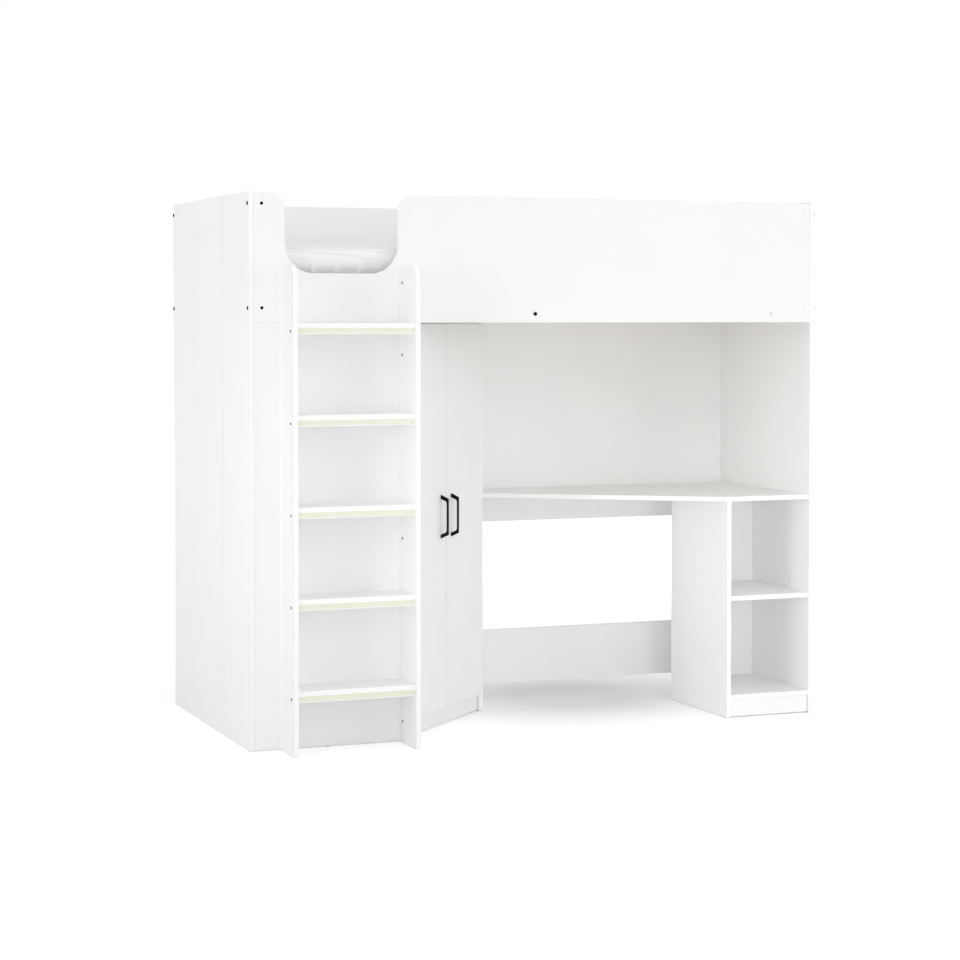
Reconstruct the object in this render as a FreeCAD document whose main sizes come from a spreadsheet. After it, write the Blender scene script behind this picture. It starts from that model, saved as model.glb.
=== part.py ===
import FreeCAD, Part
import Sketcher
import math
import os
import re

# Loft bed with a corner wardrobe, a desk and a shelf cubby below the mattress.
# The sheet's sizes are measured from the outer face of the left end panel (x), from the front
# plane of the end panels (y, towards the back) and from the floor (z). The document's origin is
# on the floor, under the middle of the whole outline with its ladder.

doc = FreeCAD.newDocument("LoftBed")
UP = FreeCAD.Vector(0, 0, 1)
NODES = {}
SHANK_SIDES = 8
HEAD_SIDES = 12
KNUCKLE_SIDES = 16

SIZES = (
    ("bed_length", 1960, "outer faces of the end panels"),
    ("bed_depth", 949, "front to back of the end panels"),
    ("bed_height", 1717, "top of the end panels"),
    ("board", 16, "thickness of every coated board"),
    ("edge_ease", 0.8, "chamfer on the banded edges of the boards"),
    ("glide_height", 1.5, "thin glides under the standing boards"),
    ("plinth_gap", 4, "plinths' lower edge above the floor"),
    ("glide_radius", 7, "glide radius"),
    ("groove_first", 301, "first groove of the left end panel, from the front"),
    ("groove_second", 662, "second groove of the left end panel, from the front"),
    ("groove_width", 5, "groove width on the face"),
    ("groove_depth", 5, "groove depth"),
    ("guard_height", 401, "height of the guard panels, up to the end panels' tops"),
    ("front_guard_drop", 4, "front guard top below the end panels' tops"),
    ("entry_left", 116, "left side of the entry cut-out"),
    ("entry_width", 370, "width of the entry cut-out"),
    ("entry_floor", 153, "floor of the entry cut-out above the guard's underside"),
    ("entry_top_radius", 47, "rounded upper corners beside the entry"),
    ("entry_low_radius", 91, "rounded lower corners of the entry"),
    ("ledge_size", 30, "square section of the slat ledges"),
    ("beam_height", 56, "height of the cross beams"),
    ("middle_beam_offset", 10, "middle cross beam's centre line, right of the wardrobe's side"),
    ("right_beam_inset", 159, "right cross beam's centre line from the right end"),
    ("slat_count", 14, "number of slats"),
    ("slat_width", 68, "slat width"),
    ("slat_thickness", 18, "slat thickness"),
    ("slat_end_gap", 3, "slat end to guard"),
    ("slat_margin", 24, "first slat to end panel"),
    ("mattress_end_gap", 14, "mattress end to end panel"),
    ("mattress_side_gap", 8.5, "mattress side to guard"),
    ("mattress_edge", 152, "mattress height at its edge"),
    ("mattress_crown", 40, "rise of the mattress's middle above its edge"),
    ("mattress_corner", 16, "rounding of the mattress's edges"),
    ("mattress_bow", 5, "outward bow of the mattress's long sides"),
    ("mattress_tuck", 9, "how far the mattress's long sides draw in at mid length"),
    ("soft_clearance", 0.3, "mattress above the slats"),
    ("wardrobe_width", 937, "outer face of the wardrobe side panel"),
    ("wardrobe_floor_top", 77, "upper face of the wardrobe floor and the cubby floor"),
    ("back_sheet", 3, "thickness of the wardrobe's back sheet"),
    ("back_inset", 3, "back sheet in from the end panels' rear edges"),
    ("door_end_gap", 18, "door's hinge edge from the carcass corner, along the diagonal"),
    ("door_middle_gap", 3, "gap between the two doors"),
    ("door_bottom", 59, "lower edge of the doors"),
    ("door_top_gap", 3, "door top below the guard"),
    ("door_back_gap", 5.5, "door's back face to the wardrobe floor's edge"),
    ("door_proud", 3.5, "doors' front plane in front of the carcass corners"),
    ("hinge_length", 60, "height of a butt hinge"),
    ("hinge_first", 110, "lowest hinge's middle above the door's lower edge"),
    ("hinge_leaf", 1.5, "thickness of a hinge leaf"),
    ("hinge_leaf_width", 13, "width of a hinge leaf"),
    ("hinge_leaf_inset", 1.5, "leaf's edge from the board's front corner"),
    ("hinge_pin_out", 5.7, "hinge pin's axis off the door's edge"),
    ("hinge_pin_in", 4.3, "hinge pin's axis behind the doors' front plane"),
    ("hinge_pin_radius", 1.6, "hinge pin radius"),
    ("hinge_pin_play", 0.1, "play between pin and knuckle"),
    ("hinge_knuckle_radius", 4, "outer radius of a knuckle"),
    ("hinge_knuckle_gap", 0.3, "gap between neighbouring knuckles"),
    ("handle_length", 141, "overall height of a bow handle"),
    ("handle_middle", 687, "handle's middle above the floor"),
    ("handle_reach", 26, "handle's reach out of the door"),
    ("handle_slant", 12, "rise of the slanted legs"),
    ("handle_foot", 12, "height of a leg's foot"),
    ("handle_bar", 4.5, "depth of the grip bar"),
    ("handle_width", 8, "width of the flat bar"),
    ("handle_round", 3, "rounding of the handle's outer knees"),
    ("handle_inner_round", 10, "rounding of the handle's inner knees"),
    ("handle_from_gap", 40, "handle's middle from the gap between the doors"),
    ("handle_screw_radius", 2, "handle screw shank"),
    ("handle_screw_head", 4, "handle screw head radius"),
    ("handle_screw_bite", 6, "screw's grip in the handle's foot"),
    ("rail_radius", 12.5, "hanging rail radius"),
    ("rail_wall", 1.2, "hanging rail wall"),
    ("rail_drop", 62, "hanging rail's axis below the wardrobe top"),
    ("socket_radius", 21, "rail socket flange radius"),
    ("socket_flange", 3, "rail socket flange thickness"),
    ("socket_depth", 12, "depth of the rail socket's cup"),
    ("socket_wall", 2.5, "wall of the rail socket's cup"),
    ("desk_top_height", 738, "upper face of the desk"),
    ("desk_corner", 461, "desk's diagonal edge meets the wardrobe, behind the front plane"),
    ("desk_back_inset", 307, "front face of the desk's back panel from the bed's rear"),
    ("desk_back_low", 622, "lower edge of the desk's back panel"),
    ("stretcher_low", 55, "lower edge of the stretcher rail"),
    ("stretcher_height", 189, "height of the stretcher rail"),
    ("cubby_width", 323, "left face of the cubby partition from the right end"),
    ("cubby_depth", 420, "front to back of the partition"),
    ("cubby_back", 400, "front face of the cubby's back panel"),
    ("shelf_top", 407, "upper face of the cubby shelf"),
    ("plinth_recess", 3, "cubby plinth behind the front plane"),
    ("plinth_side_gap", 2, "gap between the cubby plinth and the right end panel"),
    ("ladder_left", 96, "outer face of the left stile"),
    ("ladder_width", 408, "outer faces of the stiles"),
    ("ladder_depth", 150, "ladder in front of the bed"),
    ("ladder_rise", 178, "top of the stiles above the guard's underside"),
    ("ladder_round", 45, "rounded front top of the stiles"),
    ("tread_count", 5, "number of treads"),
    ("tread_first", 200, "upper face of the lowest tread"),
    ("tread_recess", 8, "tread front behind the stiles' front edges"),
    ("tread_lip", 18, "height of the stiffening lip under the tread's front"),
    ("tread_lip_depth", 36, "front to back of the lip"),
    ("strip_low", 3, "glow strip above the lip's underside"),
    ("strip_height", 16, "height of a glow strip"),
    ("strip_seat", 2, "depth of the strip's rebate"),
    ("strip_proud", 0.5, "strip in front of the tread's face"),
    ("strip_end_gap", 1, "strip end to stile"),
    ("strip_pin_inset", 9, "strip pin from the strip's end"),
    ("strip_pin_radius", 2, "strip pin radius"),
    ("strip_pin_head", 0.8, "strip pin proud of the strip"),
    ("strip_pin_bite", 9, "strip pin's grip in the lip"),
    ("screw_radius", 2.1, "tread screw shank radius"),
    ("screw_head_radius", 4, "tread screw head radius"),
    ("screw_head", 1.2, "height of a screw head"),
    ("screw_bite", 25, "tread screw's grip in the lip"),
    ("bolt_radius", 3, "furniture bolt shank radius"),
    ("bolt_head_radius", 6, "furniture bolt head radius"),
    ("bolt_head", 2, "height of a bolt head"),
    ("bolt_low", 46, "lower end bolts above the guard's underside"),
    ("bolt_high", 36, "upper end bolts below the end panels' tops"),
    ("beam_bolt_bite", 34, "beam bolt's grip in the beam"),
    ("nut_inset", 42.5, "barrel nut's axis from the end panel's outer face"),
    ("nut_radius", 5, "barrel nut radius"),
    ("nut_length", 12, "barrel nut length"),
    ("stile_nut_inset", 23.5, "barrel nut's axis in front of the stile's rear edge"),
    ("stile_nut_one", 68, "lowest barrel nut of a stile"),
    ("stile_nut_two", 643, "second barrel nut of a stile"),
    ("stile_nut_drop", 100, "third barrel nut of a stile below the guard's underside"),
    ("stile_nut_rise", 124, "highest barrel nut of a stile above the guard's underside"),
    ("cap_radius", 6.5, "radius of a nut or bolt cover"),
    ("cap_height", 1.2, "height of a nut or bolt cover"),
    ("hole_play", 0.25, "play round a bolt, screw or nut in its hole"),
)

# Sizes that follow from those of the sheet. The top tread is level with the guard's underside.
DERIVED = {
    "guard_bottom": "bed_height - guard_height",
    "middle_beam": "wardrobe_width + middle_beam_offset",
    "right_beam": "bed_length - right_beam_inset",
    "partition_left": "bed_length - cubby_width",
    "desk_back": "bed_depth - desk_back_inset",
    "tread_pitch": "(guard_bottom - tread_first) / (tread_count - 1)",
    "ladder_height": "guard_bottom + ladder_rise",
    "ladder_right": "ladder_left + ladder_width",
    "side_front": "wardrobe_width - ladder_right",
    "carcass_rear": "bed_depth - back_inset - back_sheet",
    "rail_from_front": "(side_front + carcass_rear) / 2",
    "stile_nut_three": "guard_bottom - stile_nut_drop",
    "stile_nut_four": "guard_bottom + stile_nut_rise",
}

sheet = doc.addObject("Spreadsheet::Sheet", "Sizes")
for row, (alias, value, note) in enumerate(SIZES, start=1):
    sheet.set(f"A{row}", note)
    sheet.set(f"B{row}", str(value))
    sheet.setAlias(f"B{row}", alias)
doc.recompute()


def size(alias):
    """Gives a size of the sheet as a number."""
    return float(sheet.get(alias))


def sized(expression):
    """Points each word of an expression at the sheet's cell of that name."""
    def cell(match):
        word = match[0]
        if word in DERIVED:
            return f"({sized(DERIVED[word])})"
        return word if word == "sqrt" else "Sizes." + word

    return re.sub(r"[a-z][a-z_]+", cell, expression)


def bind(item, **expressions):
    """Binds properties of an object to expressions of the sheet's sizes."""
    for name, expression in expressions.items():
        item.setExpression(name, sized(expression))
    return item


def place(item, x, y, z, rotation=FreeCAD.Rotation()):
    """Places an object by expressions from the bed's left, front and floor."""
    item.Placement = FreeCAD.Placement(FreeCAD.Vector(), rotation)
    item.setExpression("Placement.Base.x", sized(f"{x} - bed_length / 2"))
    item.setExpression("Placement.Base.y", sized(f"{y} - (bed_depth + bolt_head - ladder_depth) / 2"))
    item.setExpression("Placement.Base.z", sized(z))
    return item


def node(label, item):
    """Keeps an object as the sub-part of that name."""
    item.Label = label
    NODES[label] = item
    return item


def group(label, items):
    """Joins like pieces, still separate solids, in one sub-part."""
    compound = doc.addObject("Part::Compound", label)
    compound.Links = items
    return node(label, compound)


def box(name, length, width, height, x, y, z, rotation=FreeCAD.Rotation()):
    """Makes a plain block."""
    block = bind(doc.addObject("Part::Box", name), Length=length, Width=width, Height=height)
    return place(block, x, y, z, rotation)


def board(name, length, width, height, x, y, z, rotation=FreeCAD.Rotation()):
    """Makes a straight board with its edges eased."""
    eased = doc.addObject("Part::Chamfer", name)
    eased.Base = box(name + "_block", length, width, height, x, y, z, rotation)
    ease = size("edge_ease")
    eased.Edges = [(edge, ease, ease) for edge in range(1, 13)]
    return eased


AXES = {
    "x": FreeCAD.Rotation(FreeCAD.Vector(0, 1, 0), 90),
    "y": FreeCAD.Rotation(FreeCAD.Vector(1, 0, 0), -90),
    "z": FreeCAD.Rotation(),
}


def rod(name, axis, radius, length, x, y, z):
    """Makes a round bar that runs along an axis from the given point."""
    bar = bind(doc.addObject("Part::Cylinder", name), Radius=radius, Height=length)
    return place(bar, x, y, z, AXES[axis])


def stud(name, axis, radius, length, x, y, z, sides=SHANK_SIDES):
    """Makes a many-sided bar, for the many small fasteners and the holes that they go in."""
    bar = bind(doc.addObject("Part::Prism", name), Circumradius=radius, Height=length)
    bar.Polygon = sides
    return place(bar, x, y, z, AXES[axis])


def drilled(name, base, tools):
    """Cuts holes or grooves out of a piece."""
    cut = doc.addObject("Part::Cut", name)
    holes = doc.addObject("Part::Compound", name + "_tools")
    holes.Links = tools
    cut.Base = base
    cut.Tool = holes
    return cut


def fused(name, pieces):
    """Joins overlapping shapes into one solid."""
    whole = doc.addObject("Part::MultiFuse", name)
    whole.Shapes = pieces
    return whole


def outline_body(name, plane, points, thickness):
    """Pads a polygon, given by expressions from the body's own corner, on an origin plane."""
    body = doc.addObject("PartDesign::Body", name)
    support = next(item for item in body.Origin.OriginFeatures if item.Role == plane)
    sketch = body.newObject("Sketcher::SketchObject", name + "_outline")
    sketch.AttachmentSupport = [(support, "")]
    sketch.MapMode = "FlatFace"
    count = len(points)
    turn = 2 * math.pi / count
    rough = [FreeCAD.Vector(math.cos(turn * i), math.sin(turn * i), 0) for i in range(count)]
    for i in range(count):
        sketch.addGeometry(Part.LineSegment(rough[i], rough[(i + 1) % count]))
    for i in range(count):
        sketch.addConstraint(Sketcher.Constraint("Coincident", i, 2, (i + 1) % count, 1))
    for i, point in enumerate(points):
        for kind, axis, expression in zip(("DistanceX", "DistanceY"), (-2, -1), point):
            if expression == "0":
                sketch.addConstraint(Sketcher.Constraint("PointOnObject", i, 1, axis))
            else:
                index = sketch.addConstraint(Sketcher.Constraint(kind, -1, 1, i, 1, 1.0))
                sketch.setExpression(f"Constraints[{index}]", sized(expression))
    pad = body.newObject("PartDesign::Pad", name + "_pad")
    pad.Profile = sketch
    pad.setExpression("Length", sized(thickness))
    doc.recompute()
    return body


def dress(body, kind, name, wanted, **expressions):
    """Rounds or chamfers the edges of a body that a test picks."""
    tip = body.Tip
    names = [f"Edge{i}" for i, edge in enumerate(tip.Shape.Edges, start=1) if wanted(edge)]
    feature = body.newObject("PartDesign::" + kind, name)
    feature.Base = (tip, names)
    bind(feature, **expressions)
    doc.recompute()


def runs_along(edge, direction):
    """Tells whether an edge is straight and runs along a direction."""
    if edge.Curve.TypeId != "Part::GeomLine":
        return False
    return abs(edge.Curve.Direction.dot(direction)) > 0.999


INNER_RIGHT = "bed_length - board"
REAR = "bed_depth - board"
FRONT_LINE = "board / 2"
REAR_LINE = "bed_depth - board / 2"
END_BOLT_HEIGHTS = ("guard_bottom + bolt_low", "bed_height - bolt_high")
STILE_NUT_HEIGHTS = ("stile_nut_one", "stile_nut_two", "stile_nut_three", "stile_nut_four")
STILES = {"left": "ladder_left", "right": "ladder_right - board"}
BEAMS = {"middle": "middle_beam", "right": "right_beam"}
BEAM_BOLT_HEIGHT = "guard_bottom + beam_height / 2"
BOLT_HOLE = "bolt_radius + hole_play"
NUT_HOLE = "nut_radius + hole_play"


def end_panels():
    """End panels, with bolt holes at the guards' ends and two grooves on the left one's face."""
    for side, x in (("left", "0"), ("right", INNER_RIGHT)):
        name = side + "_end_panel"
        panel = board(name + "_blank", "board", "bed_depth", "bed_height - glide_height", x, "0",
                      "glide_height")
        tools = [stud(f"{name}_hole_{line}_{row}", "x", BOLT_HOLE, "board", x, y, z)
                 for line, y in enumerate((FRONT_LINE, REAR_LINE))
                 for row, z in enumerate(END_BOLT_HEIGHTS)]
        if side == "left":
            tools += [face_groove(f"groove_{which}", "groove_" + which) for which in ("first", "second")]
        node(name, drilled(name, panel, tools))


def face_groove(name, y):
    """A square groove, full height, in the left end panel's outer face."""
    points = (("0", "0"), ("groove_depth", "0"), ("groove_depth", "groove_width"), ("0", "groove_width"))
    groove = outline_body(name, "XY_Plane", points, "bed_height")
    return place(groove, "0", f"{y} - groove_width / 2", "0")


def guard_holes(name, y_face, y_line):
    """Bolt holes into a guard's ends, barrel nut holes in its outer face and beam bolt holes."""
    tools = []
    for row, z in enumerate(END_BOLT_HEIGHTS):
        for side, x, nut_x in (("left", "board", "nut_inset"),
                               ("right", "bed_length - nut_inset", "bed_length - nut_inset")):
            tools.append(stud(f"{name}_{side}_end_{row}", "x", BOLT_HOLE, "nut_inset - board", x, y_line,
                              z))
            tools.append(stud(f"{name}_{side}_nut_hole_{row}", "y", NUT_HOLE, "nut_length", nut_x,
                              y_face, z, HEAD_SIDES))
    for which, x in BEAMS.items():
        y = f"{y_line} - board / 2"
        tools.append(stud(f"{name}_{which}_beam_hole", "y", BOLT_HOLE, "board", x, y, BEAM_BOLT_HEIGHT))
    return tools


def guards():
    """Front guard with the entry cut-out, and the plain rear guard."""
    inner = "bed_length - 2 * board"
    height = "bed_height - front_guard_drop - guard_bottom"
    left, right = "entry_left - board", "entry_left - board + entry_width"
    points = (("0", "0"), (inner, "0"), (inner, height), (right, height), (right, "entry_floor"),
              (left, "entry_floor"), (left, height), ("0", height))
    front = outline_body("front_guard_blank", "XZ_Plane", points, "board")
    across = FreeCAD.Vector(0, 1, 0)
    sides = (size("entry_left") - size("board"), size("entry_left") - size("board") + size("entry_width"))

    def entry_corner(edge, high):
        at = edge.CenterOfMass
        beside = min(abs(at.x - side) for side in sides) < 1
        return runs_along(edge, across) and beside and (at.z > size("entry_floor") + 1) == high

    dress(front, "Fillet", "entry_upper_corners", lambda edge: entry_corner(edge, True),
          Radius="entry_top_radius")
    dress(front, "Fillet", "entry_lower_corners", lambda edge: entry_corner(edge, False),
          Radius="entry_low_radius")
    dress(front, "Chamfer", "front_guard_ease", lambda edge: not runs_along(edge, across),
          Size="edge_ease")
    place(front, "board", "board", "guard_bottom")
    tools = guard_holes("front_guard", "0", FRONT_LINE)
    tools += [stud(f"front_guard_{side}_stile_hole", "y", BOLT_HOLE, "board", f"{x} + board / 2", "0",
                   "stile_nut_four")
              for side, x in STILES.items()]
    node("front_guard_panel", drilled("front_guard_panel", front, tools))
    rear = board("rear_guard_blank", inner, "board", "bed_height - guard_bottom", "board", REAR,
                 "guard_bottom")
    tools = guard_holes("rear_guard", "bed_depth - nut_length", REAR_LINE)
    node("rear_guard_panel", drilled("rear_guard_panel", rear, tools))


def end_bolts():
    """Bolts through the end panels into barrel nuts in the guards, with covers on the right's fasteners."""
    bolts, nuts, caps = [], [], []
    reach = "nut_inset - nut_radius - hole_play"
    for side in ("left", "right"):
        head_x = "-bolt_head" if side == "left" else "bed_length"
        shank_x = "0" if side == "left" else f"bed_length - ({reach})"
        nut_x = "nut_inset" if side == "left" else "bed_length - nut_inset"
        for row, z in enumerate(END_BOLT_HEIGHTS):
            for line, y, nut_y in (("front", FRONT_LINE, "0"),
                                   ("rear", REAR_LINE, "bed_depth - nut_length")):
                name = f"{side}_{line}_bolt_{row}"
                head = stud(name + "_head", "x", "bolt_head_radius", "bolt_head", head_x, y, z,
                            HEAD_SIDES)
                shank = stud(name + "_shank", "x", "bolt_radius", reach, shank_x, y, z)
                bolts.append(fused(name, [head, shank]))
                nuts.append(stud(name + "_nut", "y", "nut_radius", "nut_length", nut_x, nut_y, z,
                                 HEAD_SIDES))
            if side == "right":
                caps.append(rod(f"nut_cap_{row}", "y", "cap_radius", "cap_height", nut_x, "-cap_height",
                                z))
    caps.append(rod("beam_bolt_cap", "y", "cap_radius", "cap_height",
                    "right_beam", "-bolt_head - cap_height", BEAM_BOLT_HEIGHT))
    group("end_panel_bolts", bolts)
    group("guard_barrel_nuts", nuts)
    group("nut_caps", caps)


def bed_base():
    """Ledges on the guards, cross beams bolted between them, and slats on top."""
    base_top = "guard_bottom + beam_height"
    spans = (("board", "middle_beam - board / 2"), ("middle_beam + board / 2", "right_beam - board / 2"),
             ("right_beam + board / 2", INNER_RIGHT))
    for line, y in (("front", "board"), ("rear", f"{REAR} - ledge_size")):
        group(line + "_slat_ledges", [
            box(f"{line}_ledge_{i}", f"{end} - ({start})", "ledge_size", "ledge_size", start, y,
                f"{base_top} - ledge_size")
            for i, (start, end) in enumerate(spans)])
    bolts = []
    for which, x in BEAMS.items():
        name = which + "_cross_beam"
        beam = board(name + "_blank", "board", "bed_depth - 2 * board", "beam_height",
                     f"{x} - board / 2", "board", "guard_bottom")
        tools = []
        for line, head_y, shank_y, hole_y in (
                ("front", "-bolt_head", "0", "board"),
                ("rear", "bed_depth", f"{REAR} - beam_bolt_bite", f"{REAR} - beam_bolt_bite")):
            tools.append(stud(f"{name}_{line}_hole", "y", BOLT_HOLE, "beam_bolt_bite", x, hole_y,
                              BEAM_BOLT_HEIGHT))
            bolt = f"{name}_{line}_bolt"
            head = stud(bolt + "_head", "y", "bolt_head_radius", "bolt_head", x, head_y,
                        BEAM_BOLT_HEIGHT, HEAD_SIDES)
            shank = stud(bolt + "_shank", "y", "bolt_radius", "board + beam_bolt_bite", x, shank_y,
                         BEAM_BOLT_HEIGHT)
            bolts.append(fused(bolt, [head, shank]))
        node(name, drilled(name, beam, tools))
    group("beam_bolts", bolts)
    count = int(size("slat_count"))
    pitch = "(bed_length - 2 * board - 2 * slat_margin - slat_width) / (slat_count - 1)"
    group("bed_slats", [
        board(f"slat_{i}", "slat_width", "bed_depth - 2 * board - 2 * slat_end_gap", "slat_thickness",
              f"board + slat_margin + {i} * {pitch}", "board + slat_end_gap", base_top)
        for i in range(count)])


def mattress_section(x, inset, low, rise):
    """Outline across the mattress at one place along it: flat below, bowed sides, crowned top."""
    corner = size("mattress_corner")
    slope = corner * (1 - math.sqrt(0.5))
    bow = size("mattress_bow")
    half = size("bed_depth") / 2 - size("board") - size("mattress_side_gap") - bow - inset
    edge = size("mattress_edge") - low

    def at(y, z):
        return FreeCAD.Vector(x, y, z)

    def arc(first, middle, last):
        return Part.Arc(at(*first), at(*middle), at(*last)).toShape()

    edges = [Part.LineSegment(at(-half + corner, low), at(half - corner, low)).toShape()]
    edges.append(arc((half - corner, low), (half - slope, low + slope), (half, low + corner)))
    edges.append(arc((half, low + corner), (half + bow, (low + edge) / 2), (half, edge - corner)))
    edges.append(arc((half, edge - corner), (half - slope, edge - slope), (half - corner, edge)))
    edges.append(arc((half - corner, edge), (0, edge + rise), (-half + corner, edge)))
    edges.append(arc((-half + corner, edge), (-half + slope, edge - slope), (-half, edge - corner)))
    edges.append(arc((-half, edge - corner), (-half - bow, (low + edge) / 2), (-half, low + corner)))
    edges.append(arc((-half, low + corner), (-half + slope, low + slope), (-half + corner, low)))
    return Part.Wire(edges)


# Sections at a rounded end: place along the end and inset by the corner's radius, and share of the crown.
END_SECTIONS = ((0, 0.75, 0.25), (0.3, 0.25, 0.4), (1, 0, 0.5))
# Section a quarter along: share of the full tuck and of the crown.
QUARTER_TUCK, QUARTER_CROWN = 0.7, 0.9
# An end's underside rises by this share of its inset.
END_LIFT = 0.75


def mattress():
    """Mattress: lofted, with a crowned top, rounded ends and sides that draw in at mid length."""
    length = size("bed_length") - 2 * size("board") - 2 * size("mattress_end_gap")
    crown, tuck = size("mattress_crown"), size("mattress_tuck")
    corner = size("mattress_corner")
    stations = [(corner * x, corner * inset, corner * inset * END_LIFT, crown * share)
                for x, inset, share in END_SECTIONS]
    stations.append((length / 4, tuck * QUARTER_TUCK, 0, crown * QUARTER_CROWN))
    stations.append((length / 2, tuck, 0, crown))
    stations += [(length - x, inset, low, rise) for x, inset, low, rise in reversed(stations[:-1])]
    body = doc.addObject("Part::Feature", "mattress")
    body.Shape = Part.makeLoft([mattress_section(*station) for station in stations], True, True)
    place(body, "board + mattress_end_gap", "bed_depth / 2",
          "guard_bottom + beam_height + slat_thickness + soft_clearance")
    node("mattress", body)


def on_diagonal(along, inward):
    """Place by the doors' front plane: along it from the front panel's corner, and inward."""
    return (f"ladder_right + (({along}) - ({inward}) + door_proud) / sqrt(2)",
            f"(({along}) + ({inward}) - door_proud) / sqrt(2)")


DIAGONAL = "side_front * sqrt(2)"
DOOR_WIDTH = f"({DIAGONAL} - 2 * door_end_gap - door_middle_gap) / 2"
DOOR_HEIGHT = "guard_bottom - door_top_gap - door_bottom"
CARCASS_WIDE = "wardrobe_width - 2 * board"
CARCASS_CUT = "ladder_right - (board + door_back_gap - door_proud) * sqrt(2)"
TURNED = FreeCAD.Rotation(UP, 45)


def carcass_outline():
    """Plan of the wardrobe floor and top, cut off along the diagonal behind the doors."""
    deep = "carcass_rear - board"
    cut_end = f"{CARCASS_WIDE} - ({CARCASS_CUT})"
    return (("0", "0"), (CARCASS_CUT, "0"), (CARCASS_WIDE, cut_end), (CARCASS_WIDE, deep), ("0", deep))


def wardrobe():
    """Corner wardrobe below the left end of the bed, with a diagonal front."""
    front = board("wardrobe_front_blank", "ladder_right - board", "board", "guard_bottom - glide_height",
                  "board", "0", "glide_height")
    tools = [stud(f"wardrobe_front_{side}_hole_{row}", "y", BOLT_HOLE, "board", f"{x} + board / 2", "0",
                  z)
             for side, x in STILES.items() for row, z in enumerate(STILE_NUT_HEIGHTS[:3])]
    node("wardrobe_front_panel", drilled("wardrobe_front_panel", front, tools))
    node("wardrobe_side_panel", board(
        "wardrobe_side_panel", "board", "carcass_rear - side_front", "guard_bottom - glide_height",
        "wardrobe_width - board", "side_front", "glide_height"))
    node("wardrobe_back_panel", box(
        "wardrobe_back_panel", "wardrobe_width - board", "back_sheet",
        "guard_bottom - wardrobe_floor_top + board",
        "board", "carcass_rear", "wardrobe_floor_top - board"))
    floor = outline_body("wardrobe_floor_blank", "XY_Plane", carcass_outline(), "board")
    place(floor, "board", "board", "wardrobe_floor_top - board")
    pockets = [stud(f"wardrobe_floor_{side}_pocket", "y", "bolt_head_radius + hole_play",
                    "bolt_head + hole_play", f"{x} + board / 2", "board", "stile_nut_one", HEAD_SIDES)
               for side, x in STILES.items()]
    node("wardrobe_floor", drilled("wardrobe_floor", floor, pockets))
    top = outline_body("wardrobe_top", "XY_Plane", carcass_outline(), "board")
    node("wardrobe_top", place(top, "board", "board", "guard_bottom - board"))
    thick = "board * sqrt(2)"
    cut_end = f"{CARCASS_WIDE} - ({CARCASS_CUT})"
    points = ((f"{CARCASS_CUT} - {thick}", "0"), (CARCASS_CUT, "0"),
              (CARCASS_WIDE, cut_end), (CARCASS_WIDE, f"{cut_end} + {thick}"))
    plinth = outline_body("wardrobe_plinth", "XY_Plane", points,
                          "wardrobe_floor_top - board - plinth_gap")
    node("wardrobe_plinth", place(plinth, "board", "board", "plinth_gap"))
    hanging_rail()


def hanging_rail():
    """Tube across the wardrobe, held in a socket on either side."""
    z = "guard_bottom - board - rail_drop"
    span = "wardrobe_width - 2 * board - 2 * socket_flange"
    start = "board + socket_flange"
    outer = rod("rail_outside", "x", "rail_radius", span, start, "rail_from_front", z)
    inner = rod("rail_inside", "x", "rail_radius - rail_wall", span, start, "rail_from_front", z)
    node("hanging_rail", drilled("hanging_rail", outer, [inner]))
    sockets = []
    cup_radius = "rail_radius + hole_play + socket_wall"
    for side, flange_x, cup_x, bore_x in (
            ("left", "board", "board", start),
            ("right", "wardrobe_width - board - socket_flange",
             "wardrobe_width - board - socket_flange - socket_depth",
             "wardrobe_width - board - socket_flange - socket_depth")):
        name = side + "_rail_socket"
        flange = rod(name + "_flange", "x", "socket_radius", "socket_flange", flange_x,
                     "rail_from_front", z)
        cup = rod(name + "_cup", "x", cup_radius, "socket_flange + socket_depth", cup_x,
                  "rail_from_front", z)
        bore = rod(name + "_bore", "x", "rail_radius + hole_play", "socket_depth", bore_x,
                   "rail_from_front", z)
        sockets.append(drilled(name, fused(name + "_solid", [flange, cup]), [bore]))
    group("rail_sockets", sockets)


def bow_handle(side, along):
    """Bow handle: two slanted legs and a thinner straight grip, rounded at its knees."""
    reach, inner = "handle_reach", "handle_reach - handle_bar"
    knee = "handle_slant + handle_foot - handle_bar / 2"
    points = ((reach, "handle_slant"), (reach, "handle_length - handle_slant"), ("0", "handle_length"),
              ("0", "handle_length - handle_foot"), (inner, f"handle_length - ({knee})"), (inner, knee),
              ("0", "handle_foot"), ("0", "0"))
    blank = outline_body(side + "_handle_blank", "YZ_Plane", points, "handle_width")
    width = FreeCAD.Vector(1, 0, 0)
    half_bar = size("handle_reach") - size("handle_bar") / 2

    def knee(edge, outer):
        at = edge.CenterOfMass.y
        return runs_along(edge, width) and at > 1 and (at > half_bar) == outer

    dress(blank, "Fillet", side + "_handle_inner_knees", lambda edge: knee(edge, False),
          Radius="handle_inner_round")
    dress(blank, "Fillet", side + "_handle_outer_knees", lambda edge: knee(edge, True),
          Radius="handle_round")
    x, y = on_diagonal(f"({along}) + handle_width / 2", "0")
    place(blank, x, y, "handle_middle - handle_length / 2", FreeCAD.Rotation(UP, 225))
    return blank


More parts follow.
